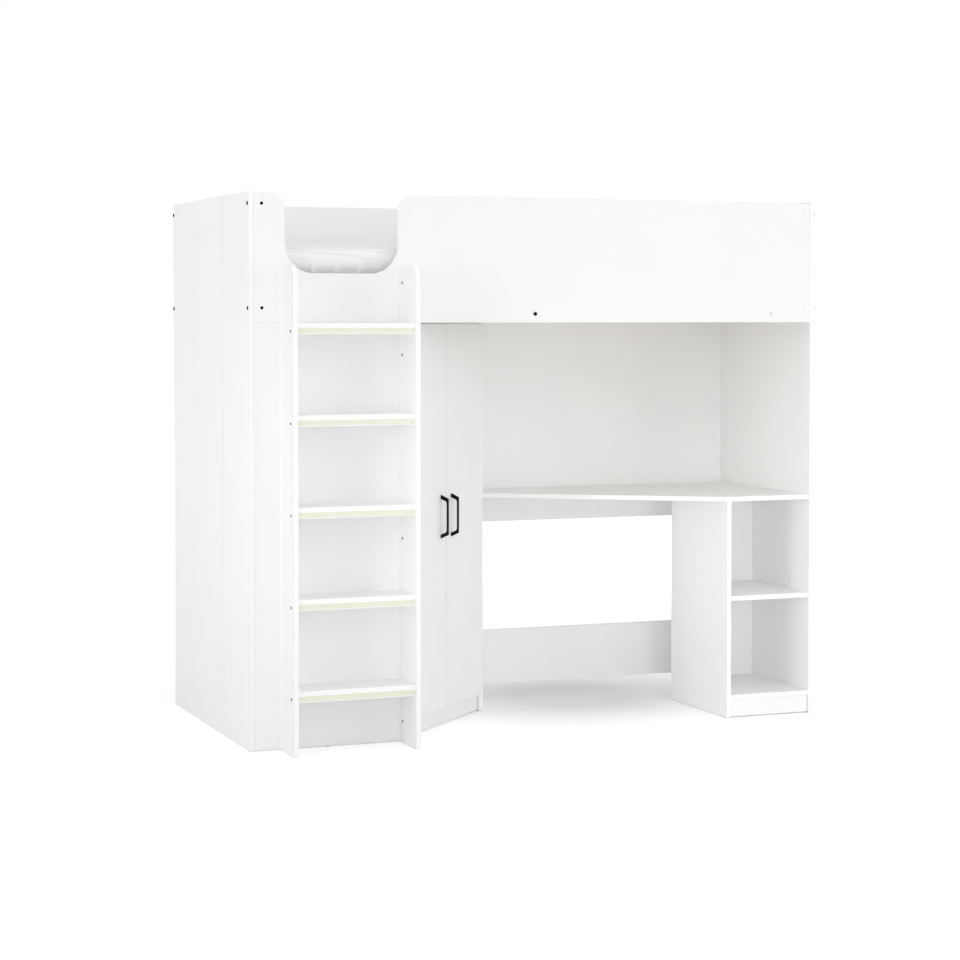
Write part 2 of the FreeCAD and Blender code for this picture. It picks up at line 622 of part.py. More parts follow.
def doors():
    """Two doors on the diagonal, each with a bow handle and its screws."""
    for side, start, along in (
            ("left", "door_end_gap", f"{DIAGONAL} / 2 - handle_from_gap"),
            ("right", f"door_end_gap + {DOOR_WIDTH} + door_middle_gap",
             f"{DIAGONAL} / 2 + handle_from_gap")):
        x, y = on_diagonal(start, "0")
        blank = board(side + "_door_blank", DOOR_WIDTH, "board", DOOR_HEIGHT, x, y, "door_bottom", TURNED)
        handle = bow_handle(side, along)
        screws, door_holes, foot_holes = [], [], []
        for end, z in (("low", "handle_middle - handle_length / 2 + handle_foot / 2"),
                       ("high", "handle_middle + handle_length / 2 - handle_foot / 2")):
            name = f"{side}_handle_screw_{end}"
            hole = "handle_screw_radius + hole_play"
            door_holes.append(across_door(name + "_door_hole", hole, "board", along, "0", z))
            foot_holes.append(across_door(name + "_foot_hole", hole, "handle_screw_bite", along,
                                          "-handle_screw_bite", z))
            head = across_door(name + "_head", "handle_screw_head", "screw_head", along, "board", z)
            shank = across_door(name + "_shank", "handle_screw_radius", "board + handle_screw_bite",
                                along, "-handle_screw_bite", z)
            screws.append(fused(name, [head, shank]))
        node(side + "_door", drilled(side + "_door", blank, door_holes))
        node(side + "_door_handle", drilled(side + "_door_handle", handle, foot_holes))
        group(side + "_handle_screws", screws)


def across_door(name, radius, length, along, inward, z):
    """A round bar square to the doors' front plane."""
    bar = bind(doc.addObject("Part::Prism", name), Circumradius=radius, Height=length)
    bar.Polygon = SHANK_SIDES
    x, y = on_diagonal(along, inward)
    return place(bar, x, y, z, FreeCAD.Rotation(UP, 45).multiply(AXES["y"]))


def hinge_leaf(name, leaf, web, pin_x, pin_y, z, knuckles, bore):
    """One half of a butt hinge: a flat leaf, and knuckles on short webs round the pin's axis."""
    pitch = "hinge_length / 3"
    parts = [leaf]
    for i in knuckles:
        low = f"{z} - hinge_length / 2 + {i} * {pitch} + hinge_knuckle_gap / 2"
        height = f"{pitch} - hinge_knuckle_gap"
        parts.append(stud(f"{name}_knuckle_{i}", "z", "hinge_knuckle_radius", height, pin_x, pin_y, low,
                          KNUCKLE_SIDES))
        parts.append(web(f"{name}_web_{i}", height, low))
    hole = bore(name + "_bore", "z", "hinge_pin_radius + hinge_pin_play", "hinge_length", pin_x, pin_y,
                f"{z} - hinge_length / 2")
    return drilled(name, fused(name + "_solid", parts), [hole])


def snug_bore(*sizes):
    """The bore of a knuckle that holds the pin still."""
    return stud(*sizes, KNUCKLE_SIDES)


def door_hinges():
    """Three butt hinges a door, in the wedge between the door's edge and the carcass board."""
    heights = ("door_bottom + hinge_first", f"door_bottom + ({DOOR_HEIGHT}) / 2",
               f"door_bottom + {DOOR_HEIGHT} - hinge_first")
    pin_off = "(door_end_gap - hinge_pin_out - hinge_pin_in + door_proud) / sqrt(2)"
    web_in = "hinge_knuckle_radius - hinge_leaf"
    pin_along = "door_end_gap - hinge_pin_out"
    for side in ("left", "right"):
        left = side == "left"
        pin_x, pin_y = on_diagonal(pin_along if left else f"{DIAGONAL} - ({pin_along})", "hinge_pin_in")
        frame, moving, pins = [], [], []
        for i, z in enumerate(heights):
            low = f"{z} - hinge_length / 2"
            if left:
                fixed = box(f"left_frame_leaf_{i}", "hinge_leaf", "hinge_leaf_width", "hinge_length",
                            "ladder_right", "hinge_leaf_inset", low)
            else:
                fixed = box(f"right_frame_leaf_{i}", "hinge_leaf_width", "hinge_leaf", "hinge_length",
                            "wardrobe_width - hinge_leaf_inset - hinge_leaf_width",
                            "side_front - hinge_leaf", low)

            def frame_web(name, height, start):
                if left:
                    return box(name, pin_off, "hinge_leaf", height, "ladder_right",
                               f"{pin_y} + {web_in}", start)
                return box(name, "hinge_leaf", pin_off, height, f"{pin_x} - ({web_in}) - hinge_leaf",
                           f"side_front - ({pin_off})", start)

            def door_web(name, height, start):
                along = pin_along if left else f"{DIAGONAL} - door_end_gap"
                x, y = on_diagonal(along, f"hinge_pin_in + {web_in}")
                return box(name, "hinge_pin_out", "hinge_leaf", height, x, y, start, TURNED)

            leaf_along = "door_end_gap - hinge_leaf" if left else f"{DIAGONAL} - door_end_gap"
            x, y = on_diagonal(leaf_along, "hinge_leaf_inset")
            leaf = box(f"{side}_door_leaf_{i}", "hinge_leaf", "hinge_leaf_width", "hinge_length", x, y,
                       low, TURNED)
            frame.append(hinge_leaf(f"{side}_frame_hinge_{i}", fixed, frame_web, pin_x, pin_y, z, (0, 2),
                                    snug_bore))
            moving.append(hinge_leaf(f"{side}_door_hinge_{i}", leaf, door_web, pin_x, pin_y, z, (1,),
                                     rod))
            pins.append(rod(f"{side}_hinge_pin_{i}", "z", "hinge_pin_radius", "hinge_length", pin_x,
                            pin_y, low))
        group(side + "_frame_hinge_leaves", frame)
        group(side + "_door_hinge_leaves", moving)
        group(side + "_hinge_pins", pins)


def desk():
    """Desk between the wardrobe and the right end panel, with its back panel and stretcher."""
    wide = f"{INNER_RIGHT} - wardrobe_width"
    kink = "partition_left - wardrobe_width"
    points = (("0", "desk_corner"), (kink, "0"), (wide, "0"), (wide, "desk_back"), ("0", "desk_back"))
    top = outline_body("desk_top", "XY_Plane", points, "board")
    dress(top, "Chamfer", "desk_top_ease", lambda edge: not runs_along(edge, UP), Size="edge_ease")
    node("desk_top", place(top, "wardrobe_width", "0", "desk_top_height - board"))
    node("desk_back_panel", board(
        "desk_back_panel", wide, "board", "guard_bottom - desk_back_low", "wardrobe_width", "desk_back",
        "desk_back_low"))
    node("desk_stretcher", board(
        "desk_stretcher", wide, "board", "stretcher_height", "wardrobe_width", "desk_back",
        "stretcher_low"))


def cubby():
    """Open shelf cubby under the right end of the desk."""
    left = "partition_left + board"
    wide = f"{INNER_RIGHT} - ({left})"
    under_desk = "desk_top_height - board"
    node("cubby_partition", board(
        "cubby_partition", "board", "cubby_depth", f"{under_desk} - glide_height", "partition_left", "0",
        "glide_height"))
    floor = "wardrobe_floor_top - board"
    node("cubby_back_panel", board(
        "cubby_back_panel", wide, "board", f"{under_desk} - ({floor})", left, "cubby_back", floor))
    for name, z in (("cubby_shelf", "shelf_top - board"), ("cubby_floor", floor)):
        node(name, board(name, wide, "cubby_back", "board", left, "0", z))
    node("cubby_plinth", board(
        "cubby_plinth", f"{wide} - plinth_side_gap", "board", f"{floor} - plinth_gap", left,
        "plinth_recess", "plinth_gap"))


def ladder_stiles():
    """Two stiles with rounded front tops, screw holes for the treads and seats for barrel nuts."""
    width = FreeCAD.Vector(1, 0, 0)
    height = "ladder_height - glide_height"
    points = (("0", "0"), ("ladder_depth", "0"), ("ladder_depth", height), ("0", height))

    def top_front_corner(edge):
        return runs_along(edge, width) and edge.CenterOfMass.y < 1 and edge.CenterOfMass.z > 1

    for side, x in STILES.items():
        name = f"ladder_{side}_stile"
        stile = outline_body(name + "_blank", "YZ_Plane", points, "board")
        dress(stile, "Fillet", name + "_round", top_front_corner, Radius="ladder_round")
        dress(stile, "Chamfer", name + "_ease", lambda edge: not runs_along(edge, width),
              Size="edge_ease")
        place(stile, x, "-ladder_depth", "glide_height")
        nut_x = f"{x} + board - nut_length" if side == "left" else x
        middle = f"{x} + board / 2"
        tools = []
        for row, z in enumerate(STILE_NUT_HEIGHTS):
            tools.append(stud(f"{name}_nut_hole_{row}", "x", NUT_HOLE, "nut_length", nut_x,
                              "-stile_nut_inset", z, HEAD_SIDES))
            tools.append(stud(f"{name}_bolt_hole_{row}", "y", BOLT_HOLE, "stile_nut_inset", middle,
                              "-stile_nut_inset", z))
        tools += [stud(f"{name}_screw_hole_{i}", "x", "screw_radius + hole_play", "board", x,
                       TREAD_SCREW_LINE, tread_screw_height(i))
                  for i in range(int(size("tread_count")))]
        node(name, drilled(name, stile, tools))


TREAD_FRONT = "tread_recess - ladder_depth"
TREAD_SCREW_LINE = f"{TREAD_FRONT} + tread_lip_depth / 2"
TREAD_LENGTH = "ladder_width - 2 * board"
TREAD_START = "ladder_left + board"


def tread_low(i):
    """Underside of a tread's lip, counted from the lowest tread."""
    return f"tread_first + {i} * tread_pitch - board - tread_lip"


def tread_screw_height(i):
    """Height of a tread's screws, at the middle of its lip."""
    return f"{tread_low(i)} + tread_lip / 2"


def ladder_treads():
    """Treads with a lip below the front edge, a glow strip in a rebate there and its pins."""
    strip_top = "strip_low + strip_height"
    whole = "tread_lip + board"
    deep = "ladder_depth - tread_recess"
    points = (("0", "0"), ("tread_lip_depth", "0"), ("tread_lip_depth", "tread_lip"), (deep, "tread_lip"),
              (deep, whole), ("0", whole), ("0", strip_top), ("strip_seat", strip_top),
              ("strip_seat", "strip_low"), ("0", "strip_low"))
    pins = []
    for i in range(int(size("tread_count"))):
        low = tread_low(i)
        name = f"ladder_tread_{i + 1}"
        blank = outline_body(name + "_blank", "YZ_Plane", points, TREAD_LENGTH)
        place(blank, TREAD_START, TREAD_FRONT, low)
        screw_z = tread_screw_height(i)
        screw_hole = "screw_radius + hole_play"
        ends = (("left", TREAD_START), ("right", f"{TREAD_START} + {TREAD_LENGTH} - screw_bite"))
        tools = [stud(f"{name}_{end}_pilot", "x", screw_hole, "screw_bite", x, TREAD_SCREW_LINE,
                      screw_z) for end, x in ends]
        pin_z = f"{low} + strip_low + strip_height / 2"
        pin_hole = "strip_pin_radius + hole_play"
        strip_tools = []
        for end, x in (("left", f"{TREAD_START} + strip_end_gap + strip_pin_inset"),
                       ("right", f"{TREAD_START} + {TREAD_LENGTH} - strip_end_gap - strip_pin_inset")):
            seat = f"{TREAD_FRONT} + strip_seat"
            face = f"{TREAD_FRONT} - strip_proud"
            tools.append(stud(f"{name}_{end}_pin_hole", "y", pin_hole, "strip_pin_bite", x, seat, pin_z))
            strip_tools.append(stud(f"glow_strip_{i + 1}_{end}_hole", "y", pin_hole,
                                    "strip_seat + strip_proud", x, face, pin_z))
            pins.append(stud(f"strip_pin_{i + 1}_{end}", "y", "strip_pin_radius",
                            "strip_pin_head + strip_proud + strip_seat + strip_pin_bite", x,
                            f"{face} - strip_pin_head", pin_z))
        node(name, drilled(name, blank, tools))
        strip = box(f"glow_strip_{i + 1}_blank", f"{TREAD_LENGTH} - 2 * strip_end_gap",
                    "strip_seat + strip_proud", "strip_height",
                    f"{TREAD_START} + strip_end_gap", f"{TREAD_FRONT} - strip_proud",
                    f"{low} + strip_low")
        node(f"glow_strip_{i + 1}", drilled(f"glow_strip_{i + 1}", strip, strip_tools))
    group("strip_pins", pins)


def ladder_fasteners():
    """Screws through the stiles into the treads, and bolts from inside into the stiles' nuts."""
    screws, bolts, nuts = [], [], []
    for side, x in STILES.items():
        head_x = f"{x} - screw_head" if side == "left" else f"{x} + board"
        shank_x = x if side == "left" else f"{x} - screw_bite"
        for i in range(int(size("tread_count"))):
            name = f"{side}_tread_screw_{i + 1}"
            z = tread_screw_height(i)
            head = stud(name + "_head", "x", "screw_head_radius", "screw_head", head_x, TREAD_SCREW_LINE,
                        z, HEAD_SIDES)
            shank = stud(name + "_shank", "x", "screw_radius", "board + screw_bite", shank_x,
                         TREAD_SCREW_LINE, z)
            screws.append(fused(name, [head, shank]))
        nut_x = f"{x} + board - nut_length" if side == "left" else x
        for row, z in enumerate(STILE_NUT_HEIGHTS):
            name = f"{side}_ladder_bolt_{row}"
            nuts.append(stud(name + "_nut", "x", "nut_radius", "nut_length", nut_x, "-stile_nut_inset",
                             z, HEAD_SIDES))
            tip = "nut_radius + hole_play - stile_nut_inset"
            head = stud(name + "_head", "y", "bolt_head_radius", "bolt_head", f"{x} + board / 2",
                        "board", z, HEAD_SIDES)
            shank = stud(name + "_shank", "y", "bolt_radius", f"board - ({tip})", f"{x} + board / 2",
                         tip, z)
            bolts.append(fused(name, [head, shank]))
    group("tread_screws", screws)
    group("ladder_bolts", bolts)
    group("stile_barrel_nuts", nuts)


def floor_glides():
    """Thin glides that the standing boards rest on."""
    corner = "2 * glide_radius"
    near_rear = "bed_depth - 2 * glide_radius"
    places = [(x, y) for x in ("board / 2", "bed_length - board / 2")
              for y in (corner, "bed_depth / 2", near_rear)]
    places += [(f"{x} + board / 2", y) for x in STILES.values()
               for y in (f"{corner} - ladder_depth", f"-{corner}")]
    places += [("wardrobe_width - board / 2", y)
               for y in (f"side_front + {corner}", f"{near_rear} - back_inset")]
    places += [("partition_left + board / 2", y) for y in (corner, f"cubby_depth - {corner}")]
    places += [("ladder_right / 2", FRONT_LINE)]
    group("floor_glides", [stud(f"glide_{i}", "z", "glide_radius", "glide_height", x, y, "0", HEAD_SIDES)
                           for i, (x, y) in enumerate(places)])


def write_parts():
    """Checks every object and sub-part, then writes each sub-part's solids."""
    doc.recompute()
    for item in doc.Objects:
        if "Invalid" in item.State or "Error" in item.State:
            raise RuntimeError(f"{item.Label} did not compute: {item.State}")
    for label, item in NODES.items():
        shape = item.Shape
        if shape.isNull() or not shape.isValid() or not shape.Solids:
            raise RuntimeError(f"{label} has no valid solid")
    os.makedirs("parts", exist_ok=True)
    for label, item in NODES.items():
        item.Shape.exportStep(f"parts/{label}.step")
        print(f"{label}: {len(item.Shape.Solids)} solids, {item.Shape.Volume / 1000:.1f} cm3")


end_panels()
guards()
end_bolts()
bed_base()
mattress()
wardrobe()
doors()
door_hinges()
desk()
cubby()
ladder_stiles()
ladder_treads()
ladder_fasteners()
floor_glides()
write_parts()
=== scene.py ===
"""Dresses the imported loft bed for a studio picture: finishes, a soft mattress and turned fittings."""

import logging
import math
from dataclasses import dataclass, field
from enum import Enum
from typing import Any, Callable, Sequence

import bmesh
import bpy
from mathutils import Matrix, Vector, noise
from mathutils.bvhtree import BVHTree


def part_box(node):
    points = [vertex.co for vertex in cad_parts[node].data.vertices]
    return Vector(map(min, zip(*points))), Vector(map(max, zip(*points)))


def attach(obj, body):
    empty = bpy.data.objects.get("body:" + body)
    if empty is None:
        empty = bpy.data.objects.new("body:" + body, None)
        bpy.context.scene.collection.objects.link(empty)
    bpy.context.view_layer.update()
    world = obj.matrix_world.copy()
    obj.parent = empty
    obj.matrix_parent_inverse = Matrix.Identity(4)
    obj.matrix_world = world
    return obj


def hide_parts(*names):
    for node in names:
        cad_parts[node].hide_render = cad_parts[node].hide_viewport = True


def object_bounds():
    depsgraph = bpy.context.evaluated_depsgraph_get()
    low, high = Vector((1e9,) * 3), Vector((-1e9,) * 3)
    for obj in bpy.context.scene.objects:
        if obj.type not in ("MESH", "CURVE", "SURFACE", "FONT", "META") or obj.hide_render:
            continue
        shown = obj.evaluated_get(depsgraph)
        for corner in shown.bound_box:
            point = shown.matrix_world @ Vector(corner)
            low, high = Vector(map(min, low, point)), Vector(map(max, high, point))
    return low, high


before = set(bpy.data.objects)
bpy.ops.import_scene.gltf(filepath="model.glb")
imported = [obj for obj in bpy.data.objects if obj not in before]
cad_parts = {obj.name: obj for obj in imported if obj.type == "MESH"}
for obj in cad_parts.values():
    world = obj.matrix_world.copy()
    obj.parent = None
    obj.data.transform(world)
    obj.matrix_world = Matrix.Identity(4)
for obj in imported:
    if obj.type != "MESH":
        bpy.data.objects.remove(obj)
CAD_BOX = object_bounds()
NODES: dict[str, bpy.types.Object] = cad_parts
FRAME_BODY = "bed_frame"
MM = 0.001
# Points or radii that differ by less than this count as one.
TOUCH = 0.01 * MM
# Heights in metres are compared to this many digits, which is the same hundredth of a millimetre.
HEIGHT_DIGITS = 5
# Most of a noise texture's values lie between these two.
NOISE_LOW = 0.3
NOISE_HIGH = 0.7

logging.basicConfig(level=logging.INFO, format="%(message)s")
LOG = logging.getLogger("loft_bed")


def linear(code: str) -> tuple[float, float, float, float]:
    """Turns an sRGB hex colour into linear values.

    Args:
        code: Six hex digits after a hash sign.

    Returns:
        Red, green, blue and full alpha.
    """
    def channel(value: float) -> float:
        """Gives one channel's linear value."""
        return value / 12.92 if value <= 0.04045 else ((value + 0.055) / 1.055) ** 2.4

    red, green, blue = (channel(int(code[i:i + 2], 16) / 255) for i in (1, 3, 5))
    return red, green, blue, 1.0


def per_metre(size_mm: float) -> float:
    """Gives a pattern's scale from its real size in millimetres."""
    return 1 / (size_mm * MM)


def feed(tree: bpy.types.NodeTree, node: bpy.types.Node, inputs: dict[Any, Any]) -> None:
    """Sets or links a node's sockets.

    Args:
        tree: The node's tree.
        node: Node to feed.
        inputs: Socket name or number, to a value, or to the socket or node that feeds it.
    """
    for key, value in inputs.items():
        if isinstance(value, bpy.types.Node):
            value = next(output for output in value.outputs if output.enabled)
        if isinstance(value, bpy.types.NodeSocket):
            tree.links.new(value, node.inputs[key])
        else:
            node.inputs[key].default_value = value


def add_node(tree: bpy.types.NodeTree, kind: str, inputs: dict[Any, Any] | None = None,
             stops: Sequence[tuple[float, str]] = (), **settings: Any) -> bpy.types.Node:
    """Adds a node with its settings, values and links.

    Args:
        tree: Node tree to add to.
        kind: Node type.
        inputs: What goes into its sockets, as feed takes it.
        stops: A colour ramp's positions and hex colours, in order.
        settings: The node's own properties.

    Returns:
        The new node.
    """
    node = tree.nodes.new(kind)
    for name, value in settings.items():
        setattr(node, name, value)
    feed(tree, node, inputs or {})
    for place, (position, code) in enumerate(stops):
        elements = node.color_ramp.elements
        element = elements[place] if place < len(elements) else elements.new(position)
        element.position = position
        element.color = linear(code)
    return node


class Axis(Enum):
    """Directions in the object's frame."""

    X = (1.0, 0.0, 0.0)
    Y = (0.0, 1.0, 0.0)
    Z = (0.0, 0.0, 1.0)
    DIAGONAL = (math.sqrt(0.5), -math.sqrt(0.5), 0.0)

    def stretched(self, share: float) -> tuple[float, ...]:
        """Gives a pattern's scale that draws it out along the axis, by a share below 1."""
        return tuple(share if part else 1.0 for part in self.value)


@dataclass(frozen=True)
class Finish:
    """A finish: its name and how it is mixed from nodes."""

    name: str

    def start(self) -> tuple[bpy.types.NodeTree, bpy.types.Node, bpy.types.NodeSocket]:
        """Makes a new material.

        Returns:
            Its node tree, its shader, and the socket that gives places on the object in metres.
        """
        material = bpy.data.materials.new(self.name)
        material.use_nodes = True
        tree = material.node_tree
        place = add_node(tree, "ShaderNodeTexCoord").outputs["Object"]
        return tree, tree.nodes["Principled BSDF"], place

    def material(self) -> bpy.types.Material:
        """Gives the finish's material, made on first use."""
        if self.name not in bpy.data.materials:
            self.mix()
        return bpy.data.materials[self.name]

    def mix(self) -> None:
        """Builds the material's nodes."""
        raise NotImplementedError


@dataclass(frozen=True)
class CoatedBoard(Finish):
    """White melamine foil pressed on particle board, with thicker plastic banding on the edges.

    The press plate leaves fine pores along the board, which break up the satin sheen. The banding
    is smoother and whiter. A hair-thin darker line is painted where it meets the foil: a glue line,
    and, where two boards' edges meet in a joint, painted shade in that joint as well.
    """

    thickness_axis: Axis = Axis.Y
    grain_axis: Axis = Axis.Z
    face: str = "#F6F6F6"
    face_shade: str = "#F4F4F4"
    banding: str = "#FAFAFA"
    glue_line_and_joint_shade: str = "#DCDCDC"
    # Real pores are about 0.4 mm wide; they are drawn coarser so that they show in the render.
    pore_mm: float = 1.6
    along_share: float = 0.05
    pore_depth_mm: float = 0.12
    pearl_mm: float = 2.4
    pearl_depth_mm: float = 0.05
    cloud_mm: float = 260.0
    smooth: float = 0.36
    rough: float = 0.5
    # Cosines of the turn from the board's face between which banding gives way to foil.
    banding_turn: tuple[float, float] = (0.25, 0.5)
    # The darker line lies on the rounded edge, half-way in the turn, and fades out on both sides. It is a
    # glue line, and where boards meet it is painted shade in the joint as well.
    glue_and_shade_turn: float = math.sqrt(0.5)
    glue_and_shade_fade: tuple[float, float] = (0.05, 0.2)
    glue_and_shade_strength: float = 0.6

    def mix(self) -> None:
        """Builds the foil's pores, tone and sheen, and the banding on faces square to them."""
        tree, shader, place = self.start()
        along = add_node(tree, "ShaderNodeMapping", {
            "Vector": place, "Scale": self.grain_axis.stretched(self.along_share)})
        pores = add_node(tree, "ShaderNodeTexNoise", {
            "Vector": along, "Scale": per_metre(self.pore_mm), "Detail": 3.0})
        pearl = add_node(tree, "ShaderNodeTexNoise", {"Vector": place, "Scale": per_metre(self.pearl_mm)})
        cloud = add_node(tree, "ShaderNodeTexNoise", {"Vector": place, "Scale": per_metre(self.cloud_mm)})
        tone = add_node(tree, "ShaderNodeValToRGB", {"Fac": cloud},
                        ((NOISE_LOW, self.face_shade), (NOISE_HIGH, self.face)))
        normal = add_node(tree, "ShaderNodeTexCoord").outputs["Normal"]
        facing = add_node(tree, "ShaderNodeVectorMath", {0: normal, 1: self.thickness_axis.value},
                          operation="DOT_PRODUCT")
        flat = add_node(tree, "ShaderNodeMath", {0: facing}, operation="ABSOLUTE")
        edge = add_node(tree, "ShaderNodeMapRange", {
            "Value": flat, "From Min": self.banding_turn[0], "From Max": self.banding_turn[1],
            "To Min": 1.0, "To Max": 0.0})
        banded = add_node(tree, "ShaderNodeMix", {"Factor": edge, "A": tone, "B": linear(self.banding)},
                          data_type="RGBA")
        # Painted darker line on each edge's chamfer: a glue line, and painted shade in the joints between
        # boards.
        off_line = add_node(tree, "ShaderNodeMath", {0: flat, 1: self.glue_and_shade_turn}, operation="SUBTRACT")
        near_line = add_node(tree, "ShaderNodeMath", {0: off_line}, operation="ABSOLUTE")
        line = add_node(tree, "ShaderNodeMapRange", {
            "Value": near_line, "From Min": self.glue_and_shade_fade[0], "From Max": self.glue_and_shade_fade[1],
            "To Min": self.glue_and_shade_strength, "To Max": 0.0})
        lined = add_node(tree, "ShaderNodeMix", {"Factor": line, "A": banded, "B": linear(self.glue_line_and_joint_shade)},
                         data_type="RGBA")
        satin = add_node(tree, "ShaderNodeMapRange", {
            "Value": pores, "From Min": NOISE_LOW, "From Max": NOISE_HIGH,
            "To Min": self.smooth, "To Max": self.rough})
        fine = add_node(tree, "ShaderNodeBump", {
            "Height": pearl, "Distance": self.pearl_depth_mm * MM, "Strength": 0.25})
        skin = add_node(tree, "ShaderNodeBump", {
            "Height": pores, "Distance": self.pore_depth_mm * MM, "Strength": 0.3, "Normal": fine})
        feed(tree, shader, {"Base Color": lined, "Roughness": satin, "Normal": skin,
                            "IOR": 1.5, "Specular IOR Level": 0.4})


@dataclass(frozen=True)
class Fibreboard(Finish):
    """Thin white-lacquered fibreboard: matt, with the faint mottling of pressed fibres."""

    light: str = "#F1F1EF"
    dark: str = "#E9E9E6"
    fibre_mm: float = 4.0
    fibre_depth_mm: float = 0.15
    smooth: float = 0.55
    rough: float = 0.7

    def mix(self) -> None:
        """Builds the mottled lacquer."""
        tree, shader, place = self.start()
        fibres = add_node(tree, "ShaderNodeTexNoise", {
            "Vector": place, "Scale": per_metre(self.fibre_mm), "Detail": 4.0})
        tone = add_node(tree, "ShaderNodeValToRGB", {"Fac": fibres},
                        ((NOISE_LOW, self.dark), (0.65, self.light)))
        matt = add_node(tree, "ShaderNodeMapRange", {
            "Value": fibres, "From Min": NOISE_LOW, "From Max": NOISE_HIGH,
            "To Min": self.smooth, "To Max": self.rough})
        skin = add_node(tree, "ShaderNodeBump", {
            "Height": fibres, "Distance": self.fibre_depth_mm * MM, "Strength": 0.3})
        feed(tree, shader, {"Base Color": tone, "Roughness": matt, "Normal": skin})


@dataclass(frozen=True)
class PlanedPine(Finish):
    """Planed, limed pine: pale, with slightly darker late-wood lines along the piece."""

    grain_axis: Axis = Axis.Y
    early: str = "#F0EAE0"
    late: str = "#E3D9C9"
    # Plain-sawn faces cut the rings at a slant, so they show as broad bands before they waver.
    ring_mm: float = 108.0
    ring_waver: float = 9.0
    fibre_mm: float = 1.2
    fibre_depth_mm: float = 0.2
    along_share: float = 0.06
    smooth: float = 0.5
    rough: float = 0.68

    def mix(self) -> None:
        """Builds the grain lines and the planed sheen."""
        tree, shader, place = self.start()
        along = add_node(tree, "ShaderNodeMapping", {
            "Vector": place, "Scale": self.grain_axis.stretched(self.along_share)})
        # A diagonal wave of scale 1 repeats every pi / 5 of a unit along an axis.
        rings = add_node(tree, "ShaderNodeTexWave", {
            "Vector": along, "Scale": per_metre(self.ring_mm) * math.pi / 5, "Distortion": self.ring_waver,
            "Detail": 3.0, "Detail Scale": 1.6}, wave_type="BANDS", bands_direction="DIAGONAL")
        fibres = add_node(tree, "ShaderNodeTexNoise", {
            "Vector": along, "Scale": per_metre(self.fibre_mm), "Detail": 3.0})
        tone = add_node(tree, "ShaderNodeValToRGB", {"Fac": rings}, ((0.2, self.early), (0.95, self.late)))
        planed = add_node(tree, "ShaderNodeMapRange", {
            "Value": fibres, "From Min": NOISE_LOW, "From Max": NOISE_HIGH,
            "To Min": self.smooth, "To Max": self.rough})
        skin = add_node(tree, "ShaderNodeBump", {
            "Height": fibres, "Distance": self.fibre_depth_mm * MM, "Strength": 0.4})
        feed(tree, shader, {"Base Color": tone, "Roughness": planed, "Normal": skin})


@dataclass(frozen=True)
class KnitCover(Finish):
    """White double-knit mattress cover: soft, matt, with rows of small loops that give it tooth."""

    light: str = "#F5F5F6"
    dark: str = "#ECECEE"
    # Loops are about 1.5 mm; they are drawn at 4 mm so that they show in the render.
    loop_mm: float = 4.0
    loop_depth_mm: float = 0.2
    lint_mm: float = 3.0
    lint_depth_mm: float = 0.4
    smooth: float = 0.82
    rough: float = 0.95

    def mix(self) -> None:
        """Builds the loops, the soft sheen and slight shading between the rows."""
        tree, shader, place = self.start()
        upright = add_node(tree, "ShaderNodeMapping", {"Vector": place, "Rotation": (0.0, math.pi / 2, 0.0)})
        # A wave of scale 1 repeats every pi / 10 of a unit along its direction.
        pitch = per_metre(self.loop_mm) * math.pi / 10
        rows = add_node(tree, "ShaderNodeTexWave", {
            "Vector": place, "Scale": pitch, "Distortion": 0.6, "Detail": 1.0}, bands_direction="X")
        columns = add_node(tree, "ShaderNodeTexWave", {
            "Vector": upright, "Scale": pitch, "Distortion": 0.6, "Detail": 1.0}, bands_direction="Y")
        loops = add_node(tree, "ShaderNodeMath", {0: rows, 1: columns}, operation="MULTIPLY")
        lint = add_node(tree, "ShaderNodeTexNoise", {
            "Vector": place, "Scale": per_metre(self.lint_mm), "Detail": 3.0})
        tone = add_node(tree, "ShaderNodeValToRGB", {"Fac": loops}, ((0.0, self.dark), (0.45, self.light)))
        matt = add_node(tree, "ShaderNodeMapRange", {
            "Value": lint, "From Min": NOISE_LOW, "From Max": NOISE_HIGH,
            "To Min": self.smooth, "To Max": self.rough})
        soft = add_node(tree, "ShaderNodeBump", {
            "Height": lint, "Distance": self.lint_depth_mm * MM, "Strength": 0.3})
        knit = add_node(tree, "ShaderNodeBump", {
            "Height": loops, "Distance": self.loop_depth_mm * MM, "Strength": 0.2, "Normal": soft})
        feed(tree, shader, {"Base Color": tone, "Roughness": matt, "Normal": knit,
                            "Sheen Weight": 0.25, "Sheen Roughness": 0.5, "Specular IOR Level": 0.2})


@dataclass(frozen=True)
class GlowVinyl(Finish):
    """Extruded after-glow vinyl: pale yellow-green, waxy, with fine lines along the extrusion."""

    light: str = "#E9EBDB"
    dark: str = "#E3E6D0"
    # Extrusion lines are about 0.2 mm apart; they are drawn coarser so that they show in the render.
    line_mm: float = 1.0
    line_depth_mm: float = 0.08
    along_share: float = 0.01
    cloud_mm: float = 40.0
    smooth: float = 0.3
    rough: float = 0.42

    def mix(self) -> None:
        """Builds the waxy colour and the extrusion lines."""
        tree, shader, place = self.start()
        along = add_node(tree, "ShaderNodeMapping", {
            "Vector": place, "Scale": Axis.X.stretched(self.along_share)})
        lines = add_node(tree, "ShaderNodeTexNoise", {"Vector": along, "Scale": per_metre(self.line_mm)})
        cloud = add_node(tree, "ShaderNodeTexNoise", {"Vector": place, "Scale": per_metre(self.cloud_mm)})
        tone = add_node(tree, "ShaderNodeValToRGB", {"Fac": cloud},
                        ((NOISE_LOW, self.dark), (NOISE_HIGH, self.light)))
        waxy = add_node(tree, "ShaderNodeMapRange", {
            "Value": lines, "From Min": NOISE_LOW, "From Max": NOISE_HIGH,
            "To Min": self.smooth, "To Max": self.rough})
        skin = add_node(tree, "ShaderNodeBump", {
            "Height": lines, "Distance": self.line_depth_mm * MM, "Strength": 0.3})
        feed(tree, shader, {"Base Color": tone, "Roughness": waxy, "Normal": skin})


